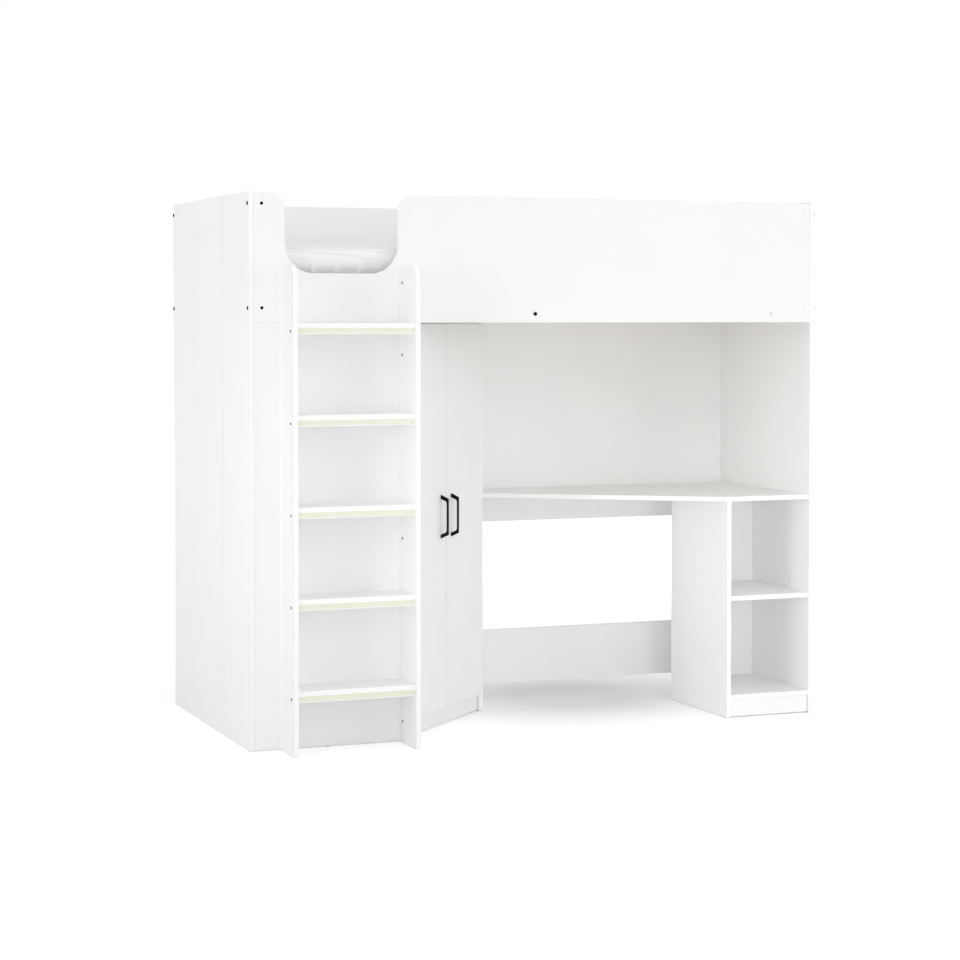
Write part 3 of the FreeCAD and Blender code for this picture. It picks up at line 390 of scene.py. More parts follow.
@dataclass(frozen=True)
class PowderCoat(Finish):
    """Powder coat on steel or zinc: satin, with a fine orange-peel skin that scatters its sheen."""

    light: str = "#0D0D0E"
    dark: str = "#070708"
    sheen: float = 0.12
    peel_mm: float = 1.2
    peel_depth_mm: float = 0.06
    cloud_mm: float = 18.0
    smooth: float = 0.46
    rough: float = 0.6

    def mix(self) -> None:
        """Builds the coat's skin and its uneven satin."""
        tree, shader, place = self.start()
        peel = add_node(tree, "ShaderNodeTexNoise", {"Vector": place, "Scale": per_metre(self.peel_mm)})
        cloud = add_node(tree, "ShaderNodeTexNoise", {"Vector": place, "Scale": per_metre(self.cloud_mm)})
        tone = add_node(tree, "ShaderNodeValToRGB", {"Fac": cloud},
                        ((0.35, self.dark), (NOISE_HIGH, self.light)))
        satin = add_node(tree, "ShaderNodeMapRange", {
            "Value": peel, "From Min": NOISE_LOW, "From Max": NOISE_HIGH,
            "To Min": self.smooth, "To Max": self.rough})
        skin = add_node(tree, "ShaderNodeBump", {
            "Height": peel, "Distance": self.peel_depth_mm * MM, "Strength": 0.35})
        feed(tree, shader, {"Base Color": tone, "Roughness": satin, "Normal": skin,
                            "Specular IOR Level": self.sheen})


@dataclass(frozen=True)
class PlatedSteel(Finish):
    """Plated steel: zinc on screws, bright chrome on the rail, with faint lines from drawing."""

    light: str = "#D6D7D9"
    dark: str = "#BFC1C4"
    smooth: float = 0.22
    rough: float = 0.38
    line_mm: float = 1.0
    along_share: float = 0.05
    line_axis: Axis = Axis.Z

    def mix(self) -> None:
        """Builds the metal with lines along its length."""
        tree, shader, place = self.start()
        along = add_node(tree, "ShaderNodeMapping", {
            "Vector": place, "Scale": self.line_axis.stretched(self.along_share)})
        lines = add_node(tree, "ShaderNodeTexNoise", {
            "Vector": along, "Scale": per_metre(self.line_mm), "Detail": 3.0})
        tone = add_node(tree, "ShaderNodeValToRGB", {"Fac": lines},
                        ((NOISE_LOW, self.dark), (NOISE_HIGH, self.light)))
        polish = add_node(tree, "ShaderNodeMapRange", {
            "Value": lines, "From Min": NOISE_LOW, "From Max": NOISE_HIGH,
            "To Min": self.smooth, "To Max": self.rough})
        feed(tree, shader, {"Base Color": tone, "Roughness": polish, "Metallic": 1.0})


@dataclass(frozen=True)
class MouldedPlastic(Finish):
    """Moulded plastic: an even colour with a faint spark-eroded texture."""

    light: str = "#F4F4F3"
    dark: str = "#ECECEA"
    smooth: float = 0.3
    rough: float = 0.45
    grit_mm: float = 0.9
    grit_depth_mm: float = 0.05

    def mix(self) -> None:
        """Builds the moulded skin."""
        tree, shader, place = self.start()
        grit = add_node(tree, "ShaderNodeTexNoise", {"Vector": place, "Scale": per_metre(self.grit_mm)})
        tone = add_node(tree, "ShaderNodeValToRGB", {"Fac": grit},
                        ((NOISE_LOW, self.dark), (NOISE_HIGH, self.light)))
        gloss = add_node(tree, "ShaderNodeMapRange", {
            "Value": grit, "From Min": NOISE_LOW, "From Max": NOISE_HIGH,
            "To Min": self.smooth, "To Max": self.rough})
        skin = add_node(tree, "ShaderNodeBump", {
            "Height": grit, "Distance": self.grit_depth_mm * MM, "Strength": 0.3})
        feed(tree, shader, {"Base Color": tone, "Roughness": gloss, "Normal": skin})


UPRIGHT_SIDE = CoatedBoard("melamine_board_upright_side", Axis.X, Axis.Z)
UPRIGHT_FRONT = CoatedBoard("melamine_board_upright_front", Axis.Y, Axis.Z)
LONG_FRONT = CoatedBoard("melamine_board_long_front", Axis.Y, Axis.X)
LYING = CoatedBoard("melamine_board_lying", Axis.Z, Axis.X)
DOOR_FACE = CoatedBoard("melamine_board_diagonal", Axis.DIAGONAL, Axis.Z)
CROSS_BEAM = CoatedBoard("melamine_board_cross_beam", Axis.X, Axis.Y)
BACK_SHEET = Fibreboard("lacquered_fibreboard")
SLAT_PINE = PlanedPine("planed_pine_across", Axis.Y)
LEDGE_PINE = PlanedPine("planed_pine_along", Axis.X)
COVER = KnitCover("double_knit_cover")
GLOW = GlowVinyl("after_glow_vinyl")
BLACK = PowderCoat("black_powder_coat")
BLACK_OXIDE = PowderCoat("black_oxide_steel", "#090909", "#050505", 0.0)
WHITE_COAT = PowderCoat("white_powder_coat", "#F4F4F4", "#EFEFEF", 0.4)
ZINC = PlatedSteel("zinc_plated_steel")
CHROME = PlatedSteel("chromed_steel", "#E2E3E5", "#D2D4D6", 0.05, 0.12, line_axis=Axis.X)
WHITE_PLASTIC = MouldedPlastic("white_moulded_abs")
DARK_PLASTIC = MouldedPlastic("dark_moulded_nylon", "#2B2B2C", "#202021", 0.45, 0.6)


def new_piece(name: str, mesh: bpy.types.Mesh, finish: Finish, smooth: bool = True) -> bpy.types.Object:
    """Links a mesh as a new object with a finish.

    Args:
        name: Piece name.
        mesh: Its mesh.
        finish: Its finish.
        smooth: Whether its faces are shaded smooth.

    Returns:
        The object.
    """
    piece = bpy.data.objects.new(name, mesh)
    bpy.context.scene.collection.objects.link(piece)
    mesh.materials.clear()
    mesh.materials.append(finish.material())
    mesh.polygons.foreach_set("use_smooth", [smooth] * len(mesh.polygons))
    return piece


def piece_from(name: str, shape: bmesh.types.BMesh, finish: Finish, smooth: bool = True) -> bpy.types.Object:
    """Turns a built shape into a new object with a finish.

    Args:
        name: Piece name.
        shape: Its shape, which is freed.
        finish: Its finish.
        smooth: Whether its faces are shaded smooth.

    Returns:
        The object.
    """
    mesh = bpy.data.meshes.new(name)
    shape.to_mesh(mesh)
    shape.free()
    return new_piece(name, mesh, finish, smooth)


def settle(piece: bpy.types.Object, slot: str, body: str, *nodes: str) -> None:
    """Puts a finished piece on its body, in place of CAD nodes.

    Args:
        piece: The finished piece.
        slot: The record's material slot; not used.
        body: CAD body it moves with.
        nodes: CAD nodes that it stands for.
    """
    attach(piece, body)
    if nodes:
        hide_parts(*nodes)
    LOG.info("%s: %d faces", piece.name, len(piece.data.polygons))


class Drive(Enum):
    """How a fitting is driven."""

    HEX = "hex socket"
    CROSS = "cross recess"
    SLOT = "straight slot"
    PLAIN = "none"


class Facing(Enum):
    """Which way the open ends of fittings without a head look, seen from the middle of their group."""

    OUT = 1
    IN = -1


@dataclass
class Fittings:
    """Turned fasteners that stand where a node's plain few-sided ones are."""

    node: str
    finish: Finish
    slot: str
    drive: Drive
    body: str = FRAME_BODY
    facing: Facing = Facing.OUT
    rounding: float = 0.6 * MM
    rounding_of_radius: float = 0.3
    rounding_of_height: float = 0.7
    rounding_steps: int = 3
    recess_depth: float = 1.3 * MM
    recess_share: float = 0.45
    recess_taper: float = 0.92
    slot_width: float = 0.22
    cross_waist: float = 0.45
    cross_sharpness: int = 6
    segments: int = 32

    def build(self) -> None:
        """Builds one fitting for each of the node's solids."""
        shape = bmesh.new()
        for points in self.solids():
            self.add_fitting(shape, points)
        piece = piece_from(self.node + "_turned", shape, self.finish, smooth=False)
        settle(piece, self.slot, self.body, self.node)

    def solids(self) -> list[list[Vector]]:
        """Gives the corner points of each separate solid in the node."""
        shape = bmesh.new()
        shape.from_mesh(NODES[self.node].data)
        bmesh.ops.remove_doubles(shape, verts=shape.verts, dist=TOUCH)
        left = set(shape.verts)
        groups = []
        while left:
            stack = [left.pop()]
            group = []
            while stack:
                vert = stack.pop()
                group.append(vert.co.copy())
                fresh = {edge.other_vert(vert) for edge in vert.link_edges} & left
                left -= fresh
                stack.extend(fresh)
            groups.append(group)
        shape.free()
        return sorted(groups, key=lambda group: tuple(min(group, key=tuple)))

    def add_fitting(self, shape: bmesh.types.BMesh, points: list[Vector]) -> None:
        """Adds one turned fitting in the place of a solid.

        Args:
            shape: Shape to add to.
            points: The solid's corner points.
        """
        axis, middle, outline = self.outline(points)
        side = axis.orthogonal().normalized()
        other = axis.cross(side)
        spokes = [side * math.cos(turn) + other * math.sin(turn)
                  for turn in (math.tau * i / self.segments for i in range(self.segments))]
        loops = [[shape.verts.new(middle + axis * height + spoke * radius) for spoke in spokes]
                 for height, radius in self.softened(outline)]
        shape.faces.new(list(reversed(loops[0])))
        if self.drive is not Drive.PLAIN:
            top = middle + axis * outline[-1][0]
            full = outline[-1][1] * self.recess_share
            reaches = [full * self.recess_reach(math.tau * i / self.segments) for i in range(self.segments)]
            loops.append([shape.verts.new(top + spoke * reach) for spoke, reach in zip(spokes, reaches)])
            floor = top - axis * self.recess_depth
            loops.append([shape.verts.new(floor + spoke * reach * self.recess_taper)
                          for spoke, reach in zip(spokes, reaches)])
        for low, high in zip(loops, loops[1:]):
            for i in range(self.segments):
                j = (i + 1) % self.segments
                shape.faces.new((low[i], low[j], high[j], high[i]))
        shape.faces.new(loops[-1])

    def recess_reach(self, turn: float) -> float:
        """Gives the drive recess's reach at an angle.

        Args:
            turn: Angle round the axis, in radians.

        Returns:
            Share of the recess's full reach.
        """
        if self.drive is Drive.HEX:
            sixth = math.pi / 3
            return math.cos(sixth / 2) / math.cos((turn % sixth) - sixth / 2)
        if self.drive is Drive.SLOT:
            across = abs(math.sin(turn))
            return self.slot_width / across if across > self.slot_width else 1.0
        arm = abs(math.cos(2 * turn)) ** self.cross_sharpness
        return self.cross_waist + (1 - self.cross_waist) * arm

    def outline(self, points: list[Vector]) -> tuple[Vector, Vector, list[tuple[float, float]]]:
        """Reads a solid's turned outline, with its head or open end last.

        Args:
            points: The solid's corner points.

        Returns:
            The axis out of the head, its point level with the origin, and each ring's height and radius.
        """
        axis = min((Vector(choice.value) for choice in Axis),
                   key=lambda choice: len({round(point.dot(choice), HEIGHT_DIGITS) for point in points}))
        low, high = (Vector(end(point[i] for point in points) for i in range(3)) for end in (min, max))
        centre = (low + high) / 2
        middle = centre - axis * centre.dot(axis)
        reach: dict[float, float] = {}
        for point in points:
            height = round(point.dot(axis), HEIGHT_DIGITS)
            reach[height] = max(reach.get(height, 0.0), (point - axis * height - middle).length)
        rings = sorted(reach.items())
        group = sum(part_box(self.node), Vector()) / 2
        group_side = (centre - group).dot(axis) * self.facing.value
        wider_at_start = rings[0][1] - rings[-1][1]
        headless = abs(wider_at_start) < TOUCH
        if wider_at_start > TOUCH or (headless and group_side < 0):
            axis = -axis
            rings = [(-height, radius) for height, radius in reversed(rings)]
        if len(rings) > 2:
            under_head = rings[-2][0]
            rings = [rings[0], (under_head, rings[0][1]), (under_head, rings[-1][1]), rings[-1]]
        return axis, middle, rings

    def softened(self, outline: list[tuple[float, float]]) -> list[tuple[float, float]]:
        """Rounds the outer edge of the head or open end, as far as its size allows.

        Args:
            outline: Height and radius of each ring, the head's top last.

        Returns:
            The outline with extra rings at that edge.
        """
        height, radius = outline[-1]
        head = height - outline[-2][0]
        soft = min(self.rounding, radius * self.rounding_of_radius, head * self.rounding_of_height)
        turns = [math.pi / 2 * step / self.rounding_steps for step in range(self.rounding_steps + 1)]
        return outline[:-1] + [
            (height - soft + soft * math.sin(turn), radius - soft + soft * math.cos(turn)) for turn in turns]


@dataclass
class SocketBolts(Fittings):
    """Black bolts with a hex socket in the head."""

    finish: Finish = BLACK
    slot: str = "black_metal"
    drive: Drive = Drive.HEX
    recess_depth: float = 1.6 * MM


@dataclass
class BarrelNuts(Fittings):
    """Black barrel nuts with a straight slot in the end that shows."""

    finish: Finish = BLACK_OXIDE
    slot: str = "black_metal"
    drive: Drive = Drive.SLOT
    rounding: float = 0.3 * MM
    recess_depth: float = 1.0 * MM
    recess_share: float = 0.75


@dataclass
class CrossScrews(Fittings):
    """Screws with a cross recess in the head."""

    finish: Finish = BLACK
    slot: str = "black_metal"
    drive: Drive = Drive.CROSS
    recess_depth: float = 0.8 * MM
    recess_share: float = 0.7


class SubAssembly:
    """A sub-assembly whose boards keep their CAD shapes, with fittings turned in place of plain ones."""

    title = "sub-assembly"

    def coats(self) -> dict[Finish, tuple[str, ...]]:
        """Gives each finish and the CAD nodes that wear it."""
        return {}

    def fittings(self) -> tuple[Fittings, ...]:
        """Gives the fasteners that are built in place of plain ones."""
        return ()

    def build(self) -> None:
        """Dresses the boards and builds the fittings."""
        LOG.info("building the %s", self.title)
        self.dress()
        for fitting in self.fittings():
            fitting.build()

    def dress(self) -> None:
        """Coats every CAD node that stays."""
        for finish, names in self.coats().items():
            for name in names:
                slots = NODES[name].data.materials
                slots.clear()
                slots.append(finish.material())
                LOG.info("%s: %s", name, finish.name)


@dataclass
class BedBox(SubAssembly):
    """End panels, guards, slats and the bolts that hold them."""

    title = "bed box"
    cap_rounding: float = 0.9 * MM

    def coats(self) -> dict[Finish, tuple[str, ...]]:
        """Gives each finish and the CAD nodes that wear it."""
        return {
            UPRIGHT_SIDE: ("left_end_panel", "right_end_panel"),
            LONG_FRONT: ("front_guard_panel", "rear_guard_panel"),
            CROSS_BEAM: ("middle_cross_beam", "right_cross_beam"),
            SLAT_PINE: ("bed_slats",),
            LEDGE_PINE: ("front_slat_ledges", "rear_slat_ledges"),
            DARK_PLASTIC: ("floor_glides",),
        }

    def fittings(self) -> tuple[Fittings, ...]:
        """Gives bolts with hex sockets, slotted nuts and their smooth caps."""
        return (
            SocketBolts("end_panel_bolts"),
            SocketBolts("beam_bolts"),
            BarrelNuts("guard_barrel_nuts"),
            Fittings("nut_caps", WHITE_PLASTIC, "white_plastic", Drive.PLAIN, rounding=self.cap_rounding),
        )


@dataclass
class Wardrobe(SubAssembly):
    """Corner carcass with two diagonal doors, their handles and hinges."""

    title = "corner wardrobe"
    sides: tuple[str, str] = ("left", "right")

    def coats(self) -> dict[Finish, tuple[str, ...]]:
        """Gives each finish and the CAD nodes that wear it."""
        return {
            UPRIGHT_FRONT: ("wardrobe_front_panel",),
            UPRIGHT_SIDE: ("wardrobe_side_panel",),
            LYING: ("wardrobe_floor", "wardrobe_top"),
            DOOR_FACE: (*(f"{side}_door" for side in self.sides), "wardrobe_plinth"),
            BACK_SHEET: ("wardrobe_back_panel",),
            BLACK: tuple(f"{side}_door_handle" for side in self.sides),
            WHITE_COAT: tuple(f"{side}_{part}" for side in self.sides
                              for part in ("frame_hinge_leaves", "door_hinge_leaves", "hinge_pins")),
            CHROME: ("hanging_rail", "rail_sockets"),
        }

    def fittings(self) -> tuple[Fittings, ...]:
        """Gives the cross-recessed screws of each handle."""
        return tuple(CrossScrews(f"{side}_handle_screws", ZINC, "zinc_steel", body=f"{side}_door")
                     for side in self.sides)


@dataclass
class Desk(SubAssembly):
    """Desk board, the panel behind it and its stretcher."""

    title = "desk"

    def coats(self) -> dict[Finish, tuple[str, ...]]:
        """Gives each finish and the CAD nodes that wear it."""
        return {LYING: ("desk_top",), LONG_FRONT: ("desk_back_panel", "desk_stretcher")}


@dataclass
class Cubby(SubAssembly):
    """Open shelves at the right end."""

    title = "shelf cubby"

    def coats(self) -> dict[Finish, tuple[str, ...]]:
        """Gives each finish and the CAD nodes that wear it."""
        return {
            UPRIGHT_SIDE: ("cubby_partition",),
            UPRIGHT_FRONT: ("cubby_back_panel",),
            LYING: ("cubby_shelf", "cubby_floor"),
            LONG_FRONT: ("cubby_plinth",),
        }


@dataclass
class Ladder(SubAssembly):
    """Two stiles with five treads, each with an after-glow strip."""

    title = "ladder"
    treads: int = 5

    def coats(self) -> dict[Finish, tuple[str, ...]]:
        """Gives each finish and the CAD nodes that wear it."""
        numbers = range(1, self.treads + 1)
        return {
            UPRIGHT_SIDE: ("ladder_left_stile", "ladder_right_stile"),
            LYING: tuple(f"ladder_tread_{number}" for number in numbers),
            GLOW: tuple(f"glow_strip_{number}" for number in numbers),
            WHITE_PLASTIC: ("strip_pins",),
        }

    def fittings(self) -> tuple[Fittings, ...]:
        """Gives bolts with hex sockets, slotted nuts and cross-recessed screws."""
        return (
            SocketBolts("ladder_bolts"),
            BarrelNuts("stile_barrel_nuts", facing=Facing.IN),
            CrossScrews("tread_screws"),
        )


def evaluated_mesh(piece: bpy.types.Object) -> bpy.types.Mesh:
    """Gives a new mesh with the piece's modifiers applied."""
    graph = bpy.context.evaluated_depsgraph_get()
    return bpy.data.meshes.new_from_object(piece.evaluated_get(graph))


def add_tube(shape: bmesh.types.BMesh, path: Sequence[Vector], radius: Callable[[float], float], sides: int,
             closed: bool) -> None:
    """Adds a round tube along a path.

    Args:
        shape: Shape to add to.
        path: Points along the tube's middle.
        radius: Radius at a share of the length.
        sides: Sides of its section.
        closed: Whether the last point joins the first.
    """
    count = len(path)
    loops = []
    for i, point in enumerate(path):
        before = path[i - 1] if closed or i else point
        after = path[(i + 1) % count] if closed or i < count - 1 else point
        along = (after - before).normalized()
        steep = abs(along.z) >= 0.7
        across = Vector(Axis.X.value if steep else Axis.Z.value)
        side = along.cross(across).normalized()
        other = along.cross(side)
        reach = radius(i / (count - 1))
        loops.append([shape.verts.new(point + (side * math.cos(turn) + other * math.sin(turn)) * reach)
                      for turn in (math.tau * k / sides for k in range(sides))])
    pairs = list(zip(loops, loops[1:])) + ([(loops[-1], loops[0])] if closed else [])
    for first, second in pairs:
        for k in range(sides):
            j = (k + 1) % sides
            shape.faces.new((first[k], first[j], second[j], second[k]))
    if not closed:
        shape.faces.new(list(reversed(loops[0])))
        shape.faces.new(loops[-1])


@dataclass
class Mattress:
    """Sprung mattress in a knitted cover: inflated by cloth simulation, with piping and border seams."""

    node: str = "mattress"
    # Simulation: the cover's even grid, its smaller start, and how far each place may swell.
    voxel: float = 9 * MM
    shrink: float = 4 * MM
    pressure: float = 4.0
    cloth_quality: int = 4
    frames: int = 20
    swell: float = 8 * MM
    seam_swell: float = 5.5 * MM
    edge_swell: float = 4 * MM
    edge_reach: float = 20 * MM
    # Form: the top's edge lies below the crown and is lifted, and the border is drawn in below it.
    lift: float = 8 * MM
    waist: float = 18 * MM
    waist_reach: float = 55 * MM
    crown: float = 40 * MM
    # Border seams: their spacing, the place of one from the object's left end, and their own form.
    seam_pitch: float = 76 * MM
    seam_from_left: float = 211.5 * MM
    seam_radius: float = 3.5 * MM
    seam_reach: float = 14 * MM
    seam_hold: float = 0.3
    seam_margin: float = 0.3
    seam_taper_share: float = 0.9
    seam_steps: int = 12
    seam_low: float = 20 * MM
    seam_top: float = 112 * MM
    seam_fade: float = 40 * MM
    # Piping round the top's edge.
    piping_radius: float = 2.6 * MM
    piping_step: float = 12 * MM
    piping_corner: float = 20 * MM
    piping_slant: float = 0.3
    corner_steps: int = 6
    # Piping and seams are tubes, sunk a little into the skin that a ray finds from outside.
    tube_sides: int = 8
    tube_proud: float = 0.4
    probe: float = 200 * MM
    # Creases: their depth, where they start, and their rate a metre along X and Y, across and along them.
    top_crease: float = 3 * MM
    border_crease: float = 0.8 * MM
    crease_low: float = 15 * MM
    crease_across: tuple[float, float] = (9.0, 5.0)
    crease_along: tuple[float, float] = (-1.6, 3.2)
    crease_up: float = 5.0
    crease_octaves: int = 3
    fill: float = 0.85
    low: Vector = field(default_factory=Vector)
    high: Vector = field(default_factory=Vector)

    def build(self) -> None:
        """Builds the mattress body, its piping and its border seams."""
        LOG.info("building the mattress")
        self.low, self.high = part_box(self.node)
        body = self.body()
        settle(body, "mattress_cover", FRAME_BODY, self.node)
        skin = BVHTree.FromPolygons([vert.co for vert in body.data.vertices],
                                    [tuple(face.vertices) for face in body.data.polygons])
        settle(self.piping(skin), "mattress_cover", FRAME_BODY)
        settle(self.border_seams(skin), "mattress_cover", FRAME_BODY)

    def edge(self) -> float:
        """Gives the height of the edge between the top and the border."""
        return self.high.z - self.crown

    def first_seam(self) -> float:
        """Gives the place of the seam nearest the mattress's left end."""
        shown = CAD_BOX[0][0] + self.seam_from_left
        return shown - math.floor((shown - self.low.x) / self.seam_pitch - self.seam_margin) * self.seam_pitch

    def body(self) -> bpy.types.Object:
        """Inflates and creases the mattress.

        Returns:
            The finished body.
        """
        start = NODES[self.node].data.copy()
        middle = (self.low + self.high) / 2
        half = (self.high - self.low) / 2
        share = Vector(1 - self.shrink / side for side in half)
        for vert in start.vertices:
            vert.co = middle + (vert.co - middle) * share
        rough = new_piece("mattress_start", start, COVER)
        remesh = rough.modifiers.new("even_grid", "REMESH")
        remesh.mode = "VOXEL"
        remesh.voxel_size = self.voxel
        even = evaluated_mesh(rough)
        bpy.data.objects.remove(rough)
        piece = new_piece("mattress_knit_cover", even, COVER)
        self.inflate(piece)
        self.plump(piece.data)
        self.add_creases(piece.data)
        return piece

    def plump(self, mesh: bpy.types.Mesh) -> None:
        """Raises the top and its edge above the core.

        Args:
            mesh: The inflated cover.
        """
        start = self.low.z + self.seam_top
        for vert in mesh.vertices:
            vert.co.z += self.lift * min(1.0, max(0.0, (vert.co.z - start) / (self.edge() - start)))

    def inflate(self, piece: bpy.types.Object) -> None:
        """Swells the cover by cloth simulation, held back at its seams, and draws its border in low down.

        Args:
            piece: The even-gridded start shape.
        """
        cloth = piece.modifiers.new("swell", "CLOTH")
        cloth.settings.use_pressure = True
        cloth.settings.uniform_pressure_force = self.pressure
        cloth.settings.effector_weights.gravity = 0.0
        cloth.settings.quality = self.cloth_quality
        scene = bpy.context.scene
        for number in range(1, self.frames + 1):
            scene.frame_set(number)
        swollen = evaluated_mesh(piece)
        piece.modifiers.remove(cloth)
        scene.frame_set(1)
        normals = [vert.normal.copy() for vert in piece.data.vertices]
        for vert, moved, normal in zip(piece.data.vertices, swollen.vertices, normals):
            step = moved.co - vert.co
            step += normal * max(0.0, -step.dot(normal))
            cap = self.cap(vert.co)
            if step.length > cap:
                step *= cap / step.length
            vert.co += step - Vector((normal.x, normal.y, 0)) * self.tuck(vert.co)
            vert.co.z = max(vert.co.z, self.low.z)
        bpy.data.meshes.remove(swollen)

    def cap(self, place: Vector) -> float:
        """Gives how far the cover may swell at a place: least at its edge, less at the border's seams.

        Args:
            place: Point on the cover.

        Returns:
            The cap in metres.
        """
        full = self.swell
        above_seams = place.z - self.low.z - self.seam_top
        if above_seams < 0:
            between = abs(math.sin(math.pi * (place.x - self.first_seam()) / self.seam_pitch))
            drawn_in = min(1.0, -above_seams / self.seam_fade) * (1 - between)
            full -= (self.swell - self.seam_swell) * drawn_in
        share = min(1.0, abs(self.edge() - place.z) / self.edge_reach)
        return self.edge_swell + (full - self.edge_swell) * math.sin(share * math.pi / 2)

    def tuck(self, place: Vector) -> float:
        """Gives how far the border is drawn in at a place: most low down, least at its seams.

        Args:
            place: Point on the cover.

        Returns:
            The depth in metres.
        """
        share = min(1.0, max(0.0, (self.seam_top - place.z + self.low.z) / self.waist_reach))
        off_seam = (place.x - self.first_seam()) / self.seam_pitch
        off_seam = abs(off_seam - round(off_seam)) * self.seam_pitch
        between = min(1.0, self.seam_hold + (1 - self.seam_hold) * off_seam / self.seam_reach)
        return self.waist * between * math.sin(share * math.pi / 2) ** 2

    def piping(self, skin: BVHTree) -> bpy.types.Object:
        """Sews a piped cord round the edge of the top.

        Args:
            skin: The cover's surface.

        Returns:
            The cord.
        """
        path = []
        for place, outward in self.edge_path():
            slant = (outward + Vector((0, 0, self.piping_slant))).normalized()
            hit, normal = skin.ray_cast(place + slant * self.probe, -slant)[:2]
            if hit is not None:
                path.append(hit + normal * self.piping_radius * self.tube_proud)
        shape = bmesh.new()
        add_tube(shape, path, lambda share: self.piping_radius, self.tube_sides, closed=True)
        return piece_from("mattress_piping", shape, COVER)

    def edge_path(self) -> list[tuple[Vector, Vector]]:
        """Gives points round the top's edge and the outward direction at each."""
        corner = self.piping_corner
        height = self.edge() + self.lift
        inner_low = self.low + Vector((corner, corner, 0))
        inner_high = self.high - Vector((corner, corner, 0))
        corners = ((inner_high.x, inner_low.y, -90), (inner_high.x, inner_high.y, 0),
                   (inner_low.x, inner_high.y, 90), (inner_low.x, inner_low.y, 180))
        points = []
        for number, (x, y, angle) in enumerate(corners):
            for step in range(self.corner_steps + 1):
                turn = math.radians(angle + 90 * step / self.corner_steps)
                outward = Vector((math.cos(turn), math.sin(turn), 0))
                points.append((Vector((x, y, height)) + outward * corner, outward))
            start, outward = points[-1]
            next_x, next_y, _ = corners[(number + 1) % len(corners)]
            end = Vector((next_x, next_y, height)) + outward * corner
            count = int((end - start).length / self.piping_step)
            points += [(start.lerp(end, i / count), outward) for i in range(1, count)]
        return points

    def border_seams(self, skin: BVHTree) -> bpy.types.Object:
        """Sews the upright seams of both long borders, which fade out below the top's edge.

        Args:
            skin: The cover's surface.

        Returns:
            The seams.
        """
        shape = bmesh.new()
        count = int((self.high.x - self.first_seam()) / self.seam_pitch - self.seam_margin) + 1
        for side, start in ((-1, self.low.y), (1, self.high.y)):
            outward = Vector((0, side, 0))
            for number in range(count):
                x = self.first_seam() + self.seam_pitch * number
                path = []
                for step in range(self.seam_steps + 1):
                    rise = (self.seam_top - self.seam_low) * step / self.seam_steps
                    place = Vector((x, start, self.low.z + self.seam_low + rise))
                    hit, normal = skin.ray_cast(place + outward * self.probe, -outward)[:2]
                    if hit is not None:
                        path.append(hit + normal * self.seam_radius * self.tube_proud)
                add_tube(shape, path, self.seam_taper, self.tube_sides, closed=False)
        return piece_from("mattress_border_seams", shape, COVER)

    def seam_taper(self, share: float) -> float:
        """Gives a seam's radius along its length: full low down, a tenth at its top."""
        return self.seam_radius * (1 - self.seam_taper_share * share ** 2)

    def add_creases(self, mesh: bpy.types.Mesh) -> None:
        """Draws shallow slanting creases over the top, and fainter ones over the border.

        Args:
            mesh: The inflated cover.
        """
        normals = [vert.normal.copy() for vert in mesh.vertices]
        for vert, normal in zip(mesh.vertices, normals):
            if vert.co.z < self.low.z + self.crease_low:
                continue
            depth = self.border_crease + (self.top_crease - self.border_crease) * max(0.0, normal.z)
            flat = vert.co.xy
            slanting = Vector((flat.dot(self.crease_across), flat.dot(self.crease_along),
                               vert.co.z * self.crease_up))
            wave = noise.fractal(slanting, 1.0, 2.0, self.crease_octaves)
            vert.co += normal * (depth * max(-1.0, min(1.0, wave)))


@dataclass(frozen=True)
class Softbox:
    """Square soft lamp: its place, what it faces, its side in metres, its watts and how wide it fans out."""

    name: str
    place: tuple[float, float, float]
    target: tuple[float, float, float]
    side: float
    power: float
    fan_degrees: float = 180.0

    def hang(self) -> None:
        """Adds the lamp to the scene."""
        data = bpy.data.lights.new(self.name, "AREA")
        data.size = self.side
        data.energy = self.power
        data.spread = math.radians(self.fan_degrees)
        lamp = bpy.data.objects.new(self.name, data)
        lamp.location = self.place
        lamp.rotation_euler = (Vector(self.target) - Vector(self.place)).to_track_quat("-Z", "Y").to_euler()
        bpy.context.scene.collection.objects.link(lamp)


